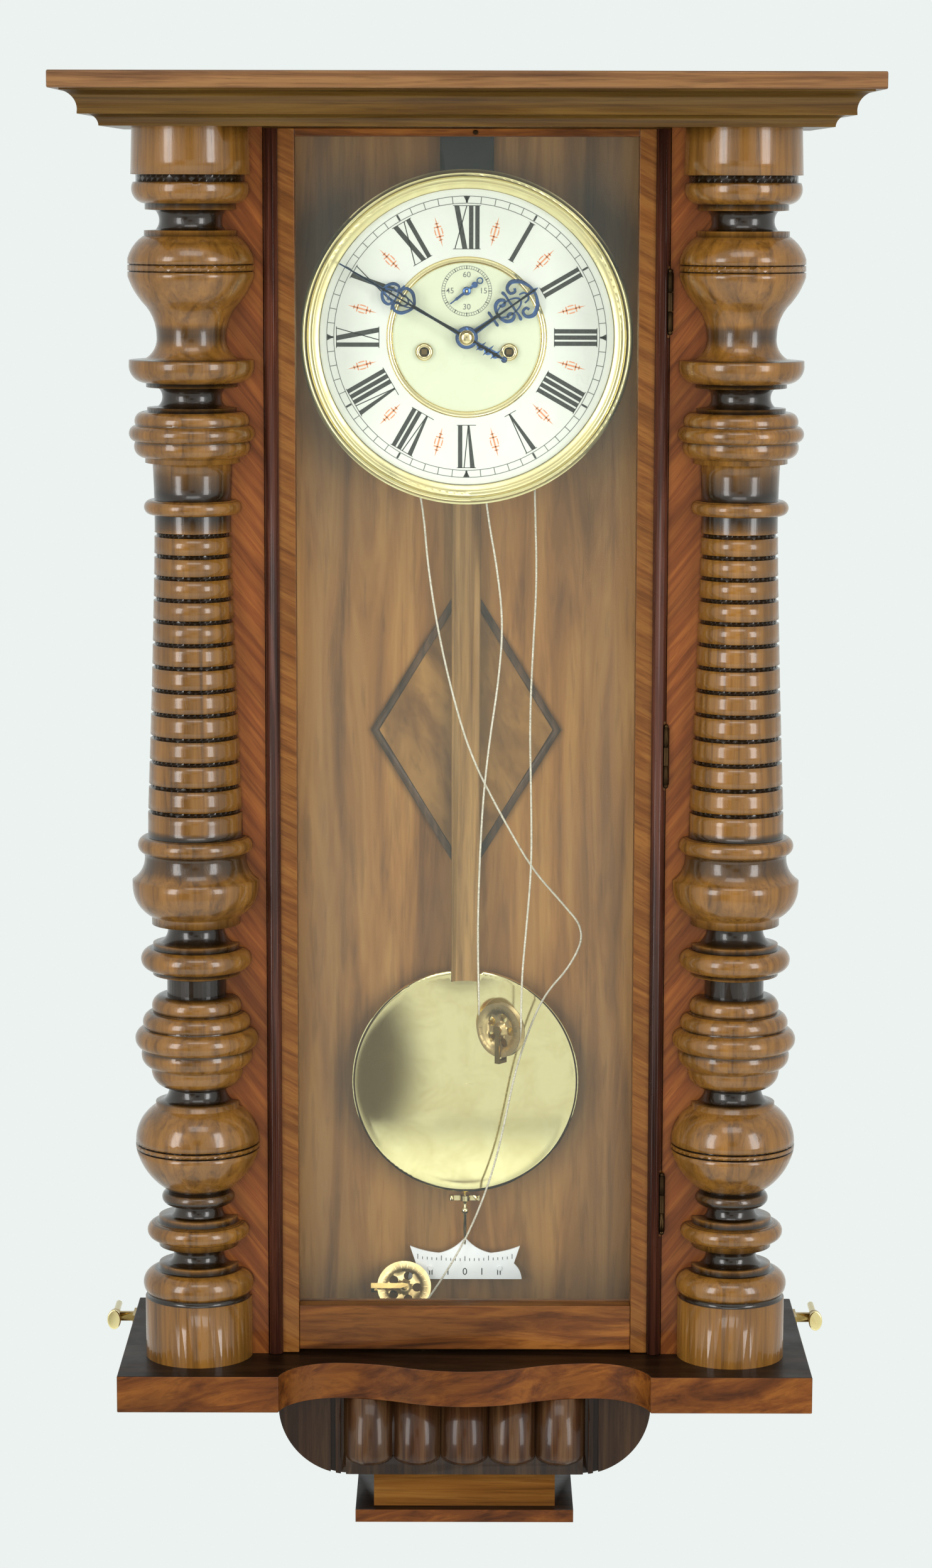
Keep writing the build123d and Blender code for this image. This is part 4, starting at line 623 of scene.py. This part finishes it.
def turned_hollows(centre_x):
    """How deep each point of a turned column lies between the swells above and below it, from 0 to 1, which
    sets its painted shade.
    """

    def place_of(vertex):
        return round(vertex.co.z / LEVEL_STEP), hypot(vertex.co.x - centre_x, vertex.co.y - DOOR_FRONT)

    def shares(mesh):
        rims = {}
        for vertex in mesh.vertices:
            level, radius = place_of(vertex)
            rims[level] = max(rims.get(level, 0), radius)
        levels = sorted(rims)
        outline = {}
        for low, high in zip(levels, levels[1:]):
            for level in range(low, high + 1):
                share = (level - low) / (high - low)
                outline[level] = max(outline.get(level, 0), rims[low] * (1 - share) + rims[high] * share)
        for vertex in mesh.vertices:
            level, radius = place_of(vertex)
            depth = 0
            for reach, whole in ((GROOVE_REACH, GROOVE_DEPTH), (WAIST_REACH, WAIST_DEPTH)):
                over = max(outline.get(level + way, 0) for way in range(reach))
                under = max(outline.get(level - way, 0) for way in range(reach))
                depth = max(depth, (min(over, under) - radius) / whole)
            yield min(max(depth, 0), 1)

    return shares


def lobe_hollows(mesh):
    """How far each point of the apron lies behind the fronts of its lobes, from 0 to 1, which sets its
    painted shade.
    """
    front = min(vertex.co.y for vertex in mesh.vertices)
    for vertex in mesh.vertices:
        yield min(max((vertex.co.y - front) / LOBE_DEPTH, 0), 1)


# Case
# The columns and apron store how deep each point lies, for their painted shade
dress("left_column", column_wood, "walnut", shade_depth=turned_hollows(-COLUMN_SIDE))
dress("right_column", column_wood, "walnut", shade_depth=turned_hollows(COLUMN_SIDE))
dress("cornice_moulding", cornice_wood, "walnut")
dress("cornice_board", edge_wood, "walnut", edge=0.0008)
dress("apron", apron_wood, "walnut", shade_depth=lobe_hollows)
base = dress("base", base_wood, "walnut")
dress("backboard", back_wood, "walnut")
dress("case_roof", side_wood, "walnut")
dress("side_frames", side_wood, "walnut", edge=0.0006)
dress("side_glasses", side_pane, "glass")
dress("door_glass", door_pane, "glass")
dress("door_stiles", banding, "burr", edge=0.0005)
dress("door_rails", rail_wood, "ebonised", edge=0.0005)
dress("glazing_beads", rail_wood, "walnut")
dress("door_mouldings", dark_red, "ebonised")
lozenge = dress("diamond", lozenge_edge, "ebonised")
scale_plate = dress("beat_scale", scale_enamel, "enamel", edge=0.0001)
stiles = dress("front_stiles", stile_left, "burr")
shelf = dress("shelf", shelf_wood, "walnut", edge=0.0006)
for piece in (shelf, lozenge, scale_plate):
    evened = piece.modifiers.new("even", "WEIGHTED_NORMAL")
    evened.keep_sharp = True


def second_finish(piece, material, chosen):
    """A second material on the faces that a test picks."""
    piece.data.materials.append(material)
    for face in piece.data.polygons:
        if chosen(face):
            face.material_index = len(piece.data.materials) - 1


LOZENGE_HALF_WIDTH, LOZENGE_HALF_HEIGHT = 0.0595, 0.0974
LOZENGE_LEVEL = DIAL_HEIGHT - 0.247
EDGE_SWELL = 0.0015
PLATE_THICK = 0.0079
PLATE_TOP = min(vertex.co.z for vertex in base.data.vertices) + PLATE_THICK
LOZENGE_FRONT = min(vertex.co.y for vertex in lozenge.data.vertices) + EDGE_SWELL


def on_panel(face):
    """Whether a face of the lozenge belongs to its flat panel, inside the dark edge."""
    across = abs(face.center.x) / LOZENGE_HALF_WIDTH
    along = abs(face.center.z - LOZENGE_LEVEL) / LOZENGE_HALF_HEIGHT
    return across + along < 0.99 and abs(face.normal.y) > 0.9 and face.center.y > LOZENGE_FRONT


second_finish(lozenge, panel_wood, on_panel)
second_finish(stiles, stile_right, lambda face: face.center.x > 0)
second_finish(shelf, shelf_black, lambda face: abs(face.normal.z) > 0.9)
second_finish(base, shelf_wood, lambda face: face.center.z < PLATE_TOP)
second_finish(base, shelf_black, lambda face: face.normal.z > 0.9)

# Movement, dial and pendulum
CENTRE_RADIUS = 0.0455
# The works behind the dial take the darker brass, painted shade for the inside of the movement seen through
# the winding holes
HIDDEN_WORKS = ("movement_frame", "going_barrel", "strike_barrel", "minute_wheel", "strike_great_wheel")
BRASS_WORKS = (
    "dial_plate", "movement_frame", "centre_wheel", "hour_wheel", "minute_wheel", "going_great_wheel",
    "third_wheel", "escape_wheel", "strike_great_wheel", "pin_wheel", "fly", "going_barrel", "strike_barrel",
    "pendulum_brass", "rating_nut", "left_steady_screw", "right_steady_screw",
)
for node in BRASS_WORKS:
    brass = shaded_works_brass if node in HIDDEN_WORKS else bright_brass
    dress(node, brass, "old_brass" if "steady" in node else "brass")
for node in ("case_knuckles", "door_brass"):
    dress(node, dark_brass, "brass")
for node in ("steady_lugs", "pulley_stirrups"):
    dress(node, old_brass, "old_brass")
for node in ("hanging_pulley", "lying_pulley"):
    dress(node, pulley_brass, "old_brass")
for node in ("gong", "hammer", "anchor", "suspension_spring"):
    dress(node, steel, "steel")
for node in ("iron_bracket", "hanger_plate"):
    dress(node, iron, "iron")
dress("bezel", bezel_brass, "brass", angle=26)
dress("gilt_ring", gilt, "brass", angle=26)
dress("bob", bob_brass, "brass", angle=24)
dress("pendulum_rod", rod_wood, "maple")
dial = dress("dial_enamel", ring_enamel, "enamel")
second_finish(
    dial, centre_enamel, lambda face: hypot(face.center.x, face.center.z - DIAL_HEIGHT) < CENTRE_RADIUS
)


WINDING_X, WINDING_LEVEL, WINDING_DEPTH = 25.5, -8.7, 72.8
WOUND_TURNS, WOUND_CORNERS, WOUND_PITCH, WOUND_RADIUS = 5, 12, 1.8, 15.0


def wound_gut(name, side, node, body):
    """The line's turns on its barrel."""
    wide = WOUND_RADIUS * 2 / (1 + cos(pi / WOUND_CORNERS))
    corners = []
    for step in range(WOUND_TURNS * WOUND_CORNERS + 1):
        angle = 2 * pi * step / WOUND_CORNERS
        depth = WINDING_DEPTH + WOUND_PITCH * (step / WOUND_CORNERS - WOUND_TURNS / 2)
        corners.append((side * (WINDING_X + wide * cos(angle)), depth, WINDING_LEVEL + wide * sin(angle)))
    line = gut_tube(name, corners, 5)
    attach(line, body)
    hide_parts(node)


wound_gut("going_turns", 1, "going_winding", "going_barrel")
wound_gut("strike_turns", -1, "strike_winding", "strike_barrel")


def on_dial(mesh, depth, centre=(0.0, 0.0), turn=0.0):
    """Stands a flat drawing in millimetres up at a depth behind the door, turned clockwise in its plane."""
    swing = Matrix.Rotation(-radians(turn), 4, "Z")
    for vertex in mesh.vertices:
        flat = swing @ vertex.co
        vertex.co = spot(centre[0] + flat.x, depth - flat.z, centre[1] + flat.y)
    return mesh


def flat_shapes(name, outlines):
    """A flat drawing of filled outlines, facing up."""
    shape = bmesh.new()
    for outline in outlines:
        face = shape.faces.new([shape.verts.new((x, y, 0)) for x, y in outline])
        face.normal_update()
        if face.normal.z < 0:
            face.normal_flip()
    return mesh_of(name, shape)


def oblong(left, low, right, high):
    """The outline of an upright oblong."""
    return [(left, low), (right, low), (right, high), (left, high)]


def round_band(inner, outer, sides=120):
    """Outlines of a flat ring."""
    outlines = []
    for step in range(sides):
        low = 2 * pi * step / sides
        high = 2 * pi * (step + 1) / sides
        outlines.append([
            (inner * cos(low), inner * sin(low)), (outer * cos(low), outer * sin(low)),
            (outer * cos(high), outer * sin(high)), (inner * cos(high), inner * sin(high)),
        ])
    return outlines


def eased(before, start, end, after, share):
    """A value on a smooth line from start to end, led by the values before and after them."""
    square = (2 * before - 5 * start + 4 * end - after) * share * share
    cube = (3 * start - before - 3 * end + after) * share**3
    return 0.5 * (2 * start + (end - before) * share + square + cube)


def smooth_path(points, steps):
    """Points on a smooth line through given ones, with their last values carried along."""
    path = []
    for i in range(len(points) - 1):
        four = points[max(i - 1, 0)], points[i], points[i + 1], points[min(i + 2, len(points) - 1)]
        for step in range(steps + (i == len(points) - 2)):
            path.append(tuple(eased(*values, step / steps) for values in zip(*four)))
    return path


def ribbon(shape, points, thick, steps=6):
    """A flat strip with eased upper edges along (x, y, half width) points."""
    path = smooth_path(points, steps)
    outline = ((-1, 0), (-1, 0.7), (-0.7, 1), (0.7, 1), (1, 0.7), (1, 0))
    rows = []
    for i, (x, y, half) in enumerate(path):
        before, after = path[max(i - 1, 0)], path[min(i + 1, len(path) - 1)]
        run = Vector((after[0] - before[0], after[1] - before[1]))
        side = Vector((-run.y, run.x)).normalized() if run.length > 1e-6 else Vector((1, 0))
        half = max(half, 0.05)
        row = []
        for share, level in outline:
            across = half * share
            row.append(shape.verts.new((x + side.x * across, y + side.y * across, thick * level)))
        rows.append(row)
    for first, second in zip(rows, rows[1:]):
        for i in range(6):
            j = (i + 1) % 6
            shape.faces.new((first[i], first[j], second[j], second[i]))
    shape.faces.new(rows[0][::-1])
    shape.faces.new(rows[-1])


def ribbon_pair(shape, strips, thick):
    """Strips drawn on both sides of a hand's middle line."""
    for side in (-1, 1):
        for points in strips:
            ribbon(shape, [(side * x, y, half) for x, y, half in points], thick)


def lathe(shape, profile, centre=(0.0, 0.0), sides=48):
    """A turned form about the upright through a centre, from (radius, level) points."""
    turns = [2 * pi * i / sides for i in range(sides)]
    rings = []
    for radius, level in profile:
        if radius <= 0:
            rings.append([shape.verts.new((*centre, level))])
        else:
            rings.append([
                shape.verts.new((centre[0] + radius * cos(turn), centre[1] + radius * sin(turn), level))
                for turn in turns
            ])
    for low, high in zip(rings, rings[1:]):
        for i in range(sides):
            j = (i + 1) % sides
            corners = [low[i % len(low)], low[j % len(low)], high[j % len(high)], high[i % len(high)]]
            kept = [corner for n, corner in enumerate(corners) if corner not in corners[:n]]
            if len(kept) > 2:
                shape.faces.new(kept)


def repeater():
    """Geometry nodes that set copies of one mark around a circle, each turned to point outwards."""
    tree = bpy.data.node_groups.new("marks_around", "GeometryNodeTree")
    face = tree.interface
    face.new_socket("Geometry", in_out="INPUT", socket_type="NodeSocketGeometry")
    face.new_socket("Mark", in_out="INPUT", socket_type="NodeSocketObject")
    face.new_socket("Count", in_out="INPUT", socket_type="NodeSocketInt")
    face.new_socket("Radius", in_out="INPUT", socket_type="NodeSocketFloat")
    face.new_socket("Start", in_out="INPUT", socket_type="NodeSocketFloat")
    face.new_socket("Paint", in_out="INPUT", socket_type="NodeSocketMaterial")
    face.new_socket("Geometry", in_out="OUTPUT", socket_type="NodeSocketGeometry")
    given = tree.nodes.new("NodeGroupInput")
    result = tree.nodes.new("NodeGroupOutput")
    circle = tree.nodes.new("GeometryNodeMeshCircle")
    index = tree.nodes.new("GeometryNodeInputIndex")
    share = tree.nodes.new("ShaderNodeMath")
    share.operation = "DIVIDE"
    angle = tree.nodes.new("ShaderNodeMath")
    angle.operation = "MULTIPLY_ADD"
    angle.inputs[1].default_value = 2 * pi
    angle.inputs[2].default_value = 0.0
    spin = tree.nodes.new("ShaderNodeCombineXYZ")
    mark = tree.nodes.new("GeometryNodeObjectInfo")
    copies = tree.nodes.new("GeometryNodeInstanceOnPoints")
    turn = tree.nodes.new("GeometryNodeTransform")
    whole_turn = tree.nodes.new("ShaderNodeCombineXYZ")
    real = tree.nodes.new("GeometryNodeRealizeInstances")
    paint = tree.nodes.new("GeometryNodeSetMaterial")
    link = tree.links.new
    link(given.outputs["Count"], circle.inputs["Vertices"])
    link(given.outputs["Radius"], circle.inputs["Radius"])
    link(index.outputs["Index"], share.inputs[0])
    link(given.outputs["Count"], share.inputs[1])
    link(share.outputs[0], angle.inputs[0])
    link(angle.outputs[0], spin.inputs["Z"])
    link(given.outputs["Mark"], mark.inputs["Object"])
    link(circle.outputs["Mesh"], copies.inputs["Points"])
    link(mark.outputs["Geometry"], copies.inputs["Instance"])
    link(spin.outputs["Vector"], copies.inputs["Rotation"])
    link(copies.outputs["Instances"], turn.inputs["Geometry"])
    link(given.outputs["Start"], whole_turn.inputs["Z"])
    link(whole_turn.outputs["Vector"], turn.inputs["Rotation"])
    link(turn.outputs["Geometry"], real.inputs["Geometry"])
    link(real.outputs["Geometry"], paint.inputs["Geometry"])
    link(given.outputs["Paint"], paint.inputs["Material"])
    link(paint.outputs["Geometry"], result.inputs["Geometry"])
    return tree


AROUND = repeater()


def around(name, mark_mesh, count, radius, start, material):
    """A flat drawing of a mark repeated around a circle."""
    mark = bpy.data.objects.new(name + "_mark", mark_mesh)
    host = bpy.data.objects.new(name + "_host", bpy.data.meshes.new(name + "_host"))
    for thing in (mark, host):
        show(thing)
    repeated = host.modifiers.new("around", "NODES")
    repeated.node_group = AROUND
    values = {"Mark": mark, "Count": count, "Radius": radius, "Start": radians(start), "Paint": material}
    for item in AROUND.interface.items_tree:
        if item.in_out == "INPUT" and item.name in values:
            repeated[item.identifier] = values[item.name]
    host.update_tag()
    ready = host.evaluated_get(bpy.context.evaluated_depsgraph_get())
    mesh = bpy.data.meshes.new_from_object(ready)
    host.modifiers.clear()
    for thing in (mark, host):
        bpy.data.objects.remove(thing)
    return mesh


def joined(name, meshes):
    """Several drawings as one mesh."""
    shape = bmesh.new()
    for mesh in meshes:
        shape.from_mesh(mesh)
    return mesh_of(name, shape)


# Chapter ring: numerals, minute track and half-hour ornaments
HIGH, LOW, WIDE = 78.5, 52.5, 2.6
STROKE_GAP, SERIF, SERIF_OUT = 1.1, 0.4, 0.7


def numeral(signs):
    """Outlines of a Roman numeral, upright and centred, with hairline serifs."""
    outlines = []
    at = 0.0
    for sign in signs:
        if sign == "I":
            outlines.append(oblong(at, LOW, at + WIDE, HIGH))
            at += WIDE + STROKE_GAP
        elif sign == "V":
            outlines.append([(at, HIGH), (at + 2.8, HIGH), (at + 4.5, LOW), (at + 3.3, LOW)])
            outlines.append([(at + 6.2, HIGH), (at + 6.8, HIGH), (at + 4.3, LOW), (at + 3.7, LOW)])
            at += 7.6
        else:
            outlines.append([(at, HIGH), (at + 3.0, HIGH), (at + 8.0, LOW), (at + 5.0, LOW)])
            outlines.append([(at + 7.3, HIGH), (at + 7.9, HIGH), (at + 0.7, LOW), (at + 0.1, LOW)])
            at += 8.9
    width = at - STROKE_GAP
    for level in (LOW, HIGH - SERIF):
        outlines.append(oblong(-SERIF_OUT, level, width + SERIF_OUT, level + SERIF))
    return [[(x - width / 2, y) for x, y in outline] for outline in outlines]


PAINTED = 44.93
INKED = 44.9
TRACK_MIDDLE, TRACK_RIM, ORNAMENT_RADIUS, HALF_HOUR = 81.9, 84.0, 65.0, 15
HOURS = ("XII", "I", "II", "III", "IIII", "V", "VI", "VII", "VIII", "IX", "X", "XI")
ink = []
for hour, signs in enumerate(HOURS):
    ink.append(on_dial(flat_shapes("numeral", numeral(signs)), INKED, turn=hour * 30))
minute_mark = flat_shapes("minute", [oblong(-2.0, -0.25, 2.0, 0.25)])
five_mark = flat_shapes("five", [oblong(-3.8, -0.62, -0.3, 0.62)])
point_mark = flat_shapes("point", [[(-4.0, 0.0), (0.0, -2.0), (0.0, 2.0)]])
ink.append(on_dial(around("fives", five_mark, 12, TRACK_RIM, 0, black_paint), INKED))
ink.append(on_dial(around("points", point_mark, 4, TRACK_RIM, 0, black_paint), INKED))
place("numerals", joined("numerals", ink), "case", black_paint)
track = [flat_shapes("track", round_band(79.6, 80.05)), flat_shapes("track", round_band(83.85, 84.3))]
track.append(around("minutes", minute_mark, 60, TRACK_MIDDLE, 0, grey_paint))
place("minute_track", on_dial(joined("minute_track", track), PAINTED), "case", grey_paint)

ornament = [[(-9.2, 0.0), (-4.4, -0.5), (4.4, -0.5), (9.2, 0.0), (4.4, 0.5), (-4.4, 0.5)]]
for middle, half, thick in ((-5.0, 1.2, 0.3), (-2.9, 2.3, 0.36), (2.9, 2.3, 0.36), (5.0, 1.2, 0.3)):
    ornament.append(oblong(middle - thick, -half, middle + thick, half))
for side in (-1, 1):
    leaf = [(-2.2, side * 1.8), (2.2, side * 1.8), (1.4, side * 2.5), (-1.4, side * 2.5)]
    ornament.append(leaf[::side])
ornaments = around("ornaments", flat_shapes("ornament", ornament), 12, ORNAMENT_RADIUS, HALF_HOUR, tan_paint)
place("half_hour_ornaments", on_dial(ornaments, PAINTED), "case", tan_paint)

# Seconds ring
SECONDS = (0.0, 27.7)
SECONDS_PAINTED = 45.74
SECONDS_MIDDLE = 14.1
second_mark = flat_shapes("second", [oblong(-0.8, -0.15, 0.8, 0.15)])
fifth_mark = flat_shapes("fifth", [oblong(-1.2, -0.28, 0.9, 0.28)])
seconds_track = [
    flat_shapes("track", round_band(14.85, 15.15, 72)),
    flat_shapes("track", round_band(13.1, 13.4, 72)),
    around("seconds", second_mark, 60, SECONDS_MIDDLE, 0, grey_paint),
    around("fifths", fifth_mark, 12, SECONDS_MIDDLE, 0, grey_paint),
]


def written(text, size, x, y):
    """Small upright figures as a flat drawing, centred on a place."""
    words = bpy.data.curves.new(text, "FONT")
    words.body = text
    words.size = size
    words.offset = 0.02
    words.align_x = "CENTER"
    words.align_y = "CENTER"
    thing = bpy.data.objects.new(text, words)
    show(thing)
    mesh = bpy.data.meshes.new_from_object(thing.evaluated_get(bpy.context.evaluated_depsgraph_get()))
    bpy.data.objects.remove(thing)
    mesh.transform(Matrix.Translation((x, y, 0)))
    return mesh


for text, x, y in (("60", 0, 9.6), ("15", 10.0, 0), ("30", 0, -9.6), ("45", -10.0, 0)):
    seconds_track.append(written(text, 4.8, x, y))
ring = on_dial(joined("seconds_ring", seconds_track), SECONDS_PAINTED, SECONDS)
place("seconds_ring", ring, "case", grey_paint)

# Beat scale marks
SCALE_PAINTED = 103.93
SCALE_FIGURES, SCALE_LINE, SCALE_SAG = -594.5, -587.4, 0.0016
scale_marks = []
for x, text in ((-21.7, "II"), (-10.8, "I"), (10.8, "I"), (21.7, "II"), (0, "0")):
    scale_marks.append(written(text, 6.4, x, SCALE_FIGURES))
ruled = []
for step in range(-30, 31, 3):
    tall = 3.2 if step % 15 == 0 else 1.8
    low = SCALE_LINE + SCALE_SAG * step * step
    ruled.append(oblong(step - 0.22, low, step + 0.22, low + tall))
scale_marks.append(flat_shapes("ruled", ruled))
scale_drawing = on_dial(joined("beat_scale_marks", scale_marks), SCALE_PAINTED)
place("beat_scale_marks", scale_drawing, "case", black_paint)


# Hands, each shown at the time in the photograph
HAND_THICK, SECONDS_THICK = 0.8, 0.7
MINUTE_DEPTH, HOUR_DEPTH, SECONDS_DEPTH = 38.4, 41.0, 43.4
MINUTE_ANGLE, HOUR_ANGLE, SECONDS_ANGLE = -60, 55, -128


def hand(node, name, body, turn, shape, depth, keep, centre=(0.0, 0.0)):
    """A hand drawn pointing up, on the model's own hub and pipe."""
    blade = on_dial(mesh_of(name, shape), depth, centre, turn)
    hub = cad_copy(node)
    middle = spot(centre[0], 0, centre[1])
    away = [v for v in hub.verts if hypot(v.co.x - middle.x, v.co.z - middle.z) > keep]
    bmesh.ops.delete(hub, geom=away, context="VERTS")
    bmesh.ops.holes_fill(hub, edges=[edge for edge in hub.edges if edge.is_boundary], sides=0)
    hub.from_mesh(blade)
    mesh = mesh_of(name, hub)
    shade(mesh, 30)
    return place(name, mesh, body, blued, (node,))


shape = bmesh.new()
ribbon(shape, [(0, 4, 1.7), (0, 12, 1.1), (0, 24, 0.9), (0, 34, 1.1), (0, 38, 0.8)], HAND_THICK)
ribbon(shape, [(0, 55, 1.0), (0, 60, 0.95), (0, 74, 0.6), (0, 88, 0.15)], HAND_THICK)
ribbon(shape, [(0, 37, 0.7), (0, 46, 0.45), (0, 56, 0.8)], HAND_THICK)
ribbon_pair(shape, (
    [(0, 36.5, 0.8), (3.2, 38.0, 0.9), (6.9, 41.5, 1.1), (7.4, 45.8, 0.9), (4.6, 47.8, 0.8), (2.4, 46.0, 0.7),
     (3.4, 43.6, 0.8)],
    [(0.4, 57.6, 0.8), (3.4, 56.6, 0.9), (6.0, 53.8, 1.0), (6.2, 50.6, 0.8), (4.2, 49.4, 0.7),
     (3.0, 51.2, 0.7), (3.8, 52.4, 0.6)],
    [(0, 48.4, 0.6), (2.4, 48.4, 0.6), (5.2, 48.4, 0.7), (8.4, 47.6, 0.4)],
    [(0.3, 40.5, 0.6), (2.0, 41.6, 0.5), (3.2, 43.6, 0.5)],
), HAND_THICK)
tail = [(0, -4, 1.6), (0.5, -7, 1.0), (-0.5, -10, 2.2), (0.4, -12.5, 1.1), (-0.4, -15, 2.5),
        (0.4, -17.6, 1.3), (-0.2, -20, 2.4), (0, -22.4, 1.0), (0, -26, 0.2)]
ribbon(shape, tail, HAND_THICK)
for y, reach in ((-10, 3.6), (-15, 4.2), (-20, 3.8)):
    for side in (-1, 1):
        ribbon(shape, [(0, y, 1.0), (side * reach, y - 1.4 * side, 0.1)], HAND_THICK, steps=2)
hand("minute_hand", "minute_hand_piece", "minute_hand", MINUTE_ANGLE, shape, MINUTE_DEPTH, keep=7.2)

shape = bmesh.new()
ribbon(shape, [(0, 4, 1.9), (0, 12, 1.5), (0, 20, 1.2), (0, 24, 1.0)], HAND_THICK)
ribbon(shape, [(0, 23, 0.8), (0, 34, 0.6), (0, 44, 0.8), (0, 48, 1.3), (0, 52, 0.2)], HAND_THICK)
ribbon_pair(shape, (
    [(0, 23, 0.9), (2.8, 23.4, 0.9), (5.8, 25.2, 1.1), (7.0, 28.4, 1.1), (5.4, 31.0, 0.9), (3.1, 29.8, 0.8),
     (3.3, 27.6, 0.7), (4.8, 27.4, 0.7)],
    [(0, 49, 0.8), (4.0, 48.2, 0.9), (8.8, 45.6, 1.2), (11.8, 41.0, 1.3), (10.4, 36.8, 1.0), (6.8, 36.4, 0.9),
     (5.8, 39.2, 0.8), (7.8, 40.4, 0.8)],
    [(0, 33.4, 0.8), (3.4, 33.2, 0.7), (6.6, 33.4, 0.7), (9.4, 33.0, 1.0), (10.4, 33.0, 0.3)],
    [(0, 19.4, 0.9), (2.4, 19.4, 0.8), (4.4, 19.4, 0.9), (5.4, 19.4, 0.3)],
    [(0.4, 44.6, 0.6), (2.4, 43.4, 0.6), (3.0, 40.4, 0.5)],
), HAND_THICK)
hand("hour_hand", "hour_hand_piece", "hour_hand", HOUR_ANGLE, shape, HOUR_DEPTH, keep=7.6)

shape = bmesh.new()
ribbon(shape, [(0, 1.5, 0.45), (0, 7, 0.35), (0, 12.6, 0.12)], SECONDS_THICK)
ribbon(shape, [(0, -1.5, 0.4), (0, -5, 0.35), (0, -8.2, 0.4)], SECONDS_THICK)
ring_points = [(1.7 * sin(2 * pi * i / 12), -10 + 1.7 * cos(2 * pi * i / 12), 0.4) for i in range(13)]
ribbon(shape, ring_points, SECONDS_THICK, steps=3)
lathe(shape, [(2.6, 0.0), (2.6, 0.7), (2.2, 1.1), (0, 1.3)])
hand("seconds_hand", "seconds_hand_piece", "escape_wheel", SECONDS_ANGLE, shape, SECONDS_DEPTH, keep=2.9,
     centre=SECONDS)

# Brass collet of the hands and brass eyes of the winding holes
COLLET_DEPTH, EYE_DEPTH = 37.6, 43.6
shape = bmesh.new()
lathe(shape, [(4.6, 0.0), (4.6, 0.4), (4.0, 0.7), (3.6, 1.5), (2.6, 2.1), (1.2, 2.4), (0, 2.5)])
collet = on_dial(mesh_of("collet", shape), COLLET_DEPTH)
shade(collet, 40)
place("hand_collet", collet, "minute_hand", bright_brass)

shape = bmesh.new()
eye_outline = [(3.0, 0.0), (3.0, 0.7), (3.4, 1.0), (4.3, 0.9), (5.0, 0.4), (5.3, 0.0)]
for side in (-1, 1):
    lathe(shape, eye_outline, (side * WINDING_X, WINDING_LEVEL), 40)
eyes = on_dial(mesh_of("winding_eyes", shape), EYE_DEPTH)
shade(eyes, 50)
place("winding_eyes", eyes, "case", bright_brass)

# Dark studio cards behind the camera, fading into the room at their edges, seen only as reflections
CARDS = (("upper_card", (0, -3.0, 0.1), 1.2, 1.1), ("left_card", (-1.15, -3.0, -1.1), 1.7, 2.8))
for name, where, wide, tall in CARDS:
    card_shape = bmesh.new()
    bmesh.ops.create_grid(card_shape, x_segments=1, y_segments=1, size=0.5)
    card_mesh = mesh_of(name, card_shape)
    stretched = Matrix.Diagonal((wide, tall, 1, 1))
    card_mesh.transform(Matrix.Translation(where) @ Matrix.Rotation(-pi / 2, 4, "X") @ stretched)
    card = bpy.data.objects.new(name, card_mesh)
    show(card)
    dim = Finish(name)
    fade = dim.node("TexGradient", gradient_type="SPHERICAL")
    reach = dim.coordinates((2 / wide, 1, 2 / tall), shift=tuple(-at for at in where))
    dim.join(reach, fade.inputs["Vector"])
    tone = dim.ramp(fade.outputs["Fac"], [(0.0, ROOM_SEEN), (0.5, colour(82, 70, 52))], "EASE")
    dim.join(tone, dim.surface.inputs["Emission Color"])
    dim.set(Base_Color=colour(20, 18, 16), Roughness=1.0, Emission_Strength=1.0)
    card_mesh.materials.append(dim.material)
    card.visible_camera = False
    card.visible_diffuse = False
    card.visible_shadow = False
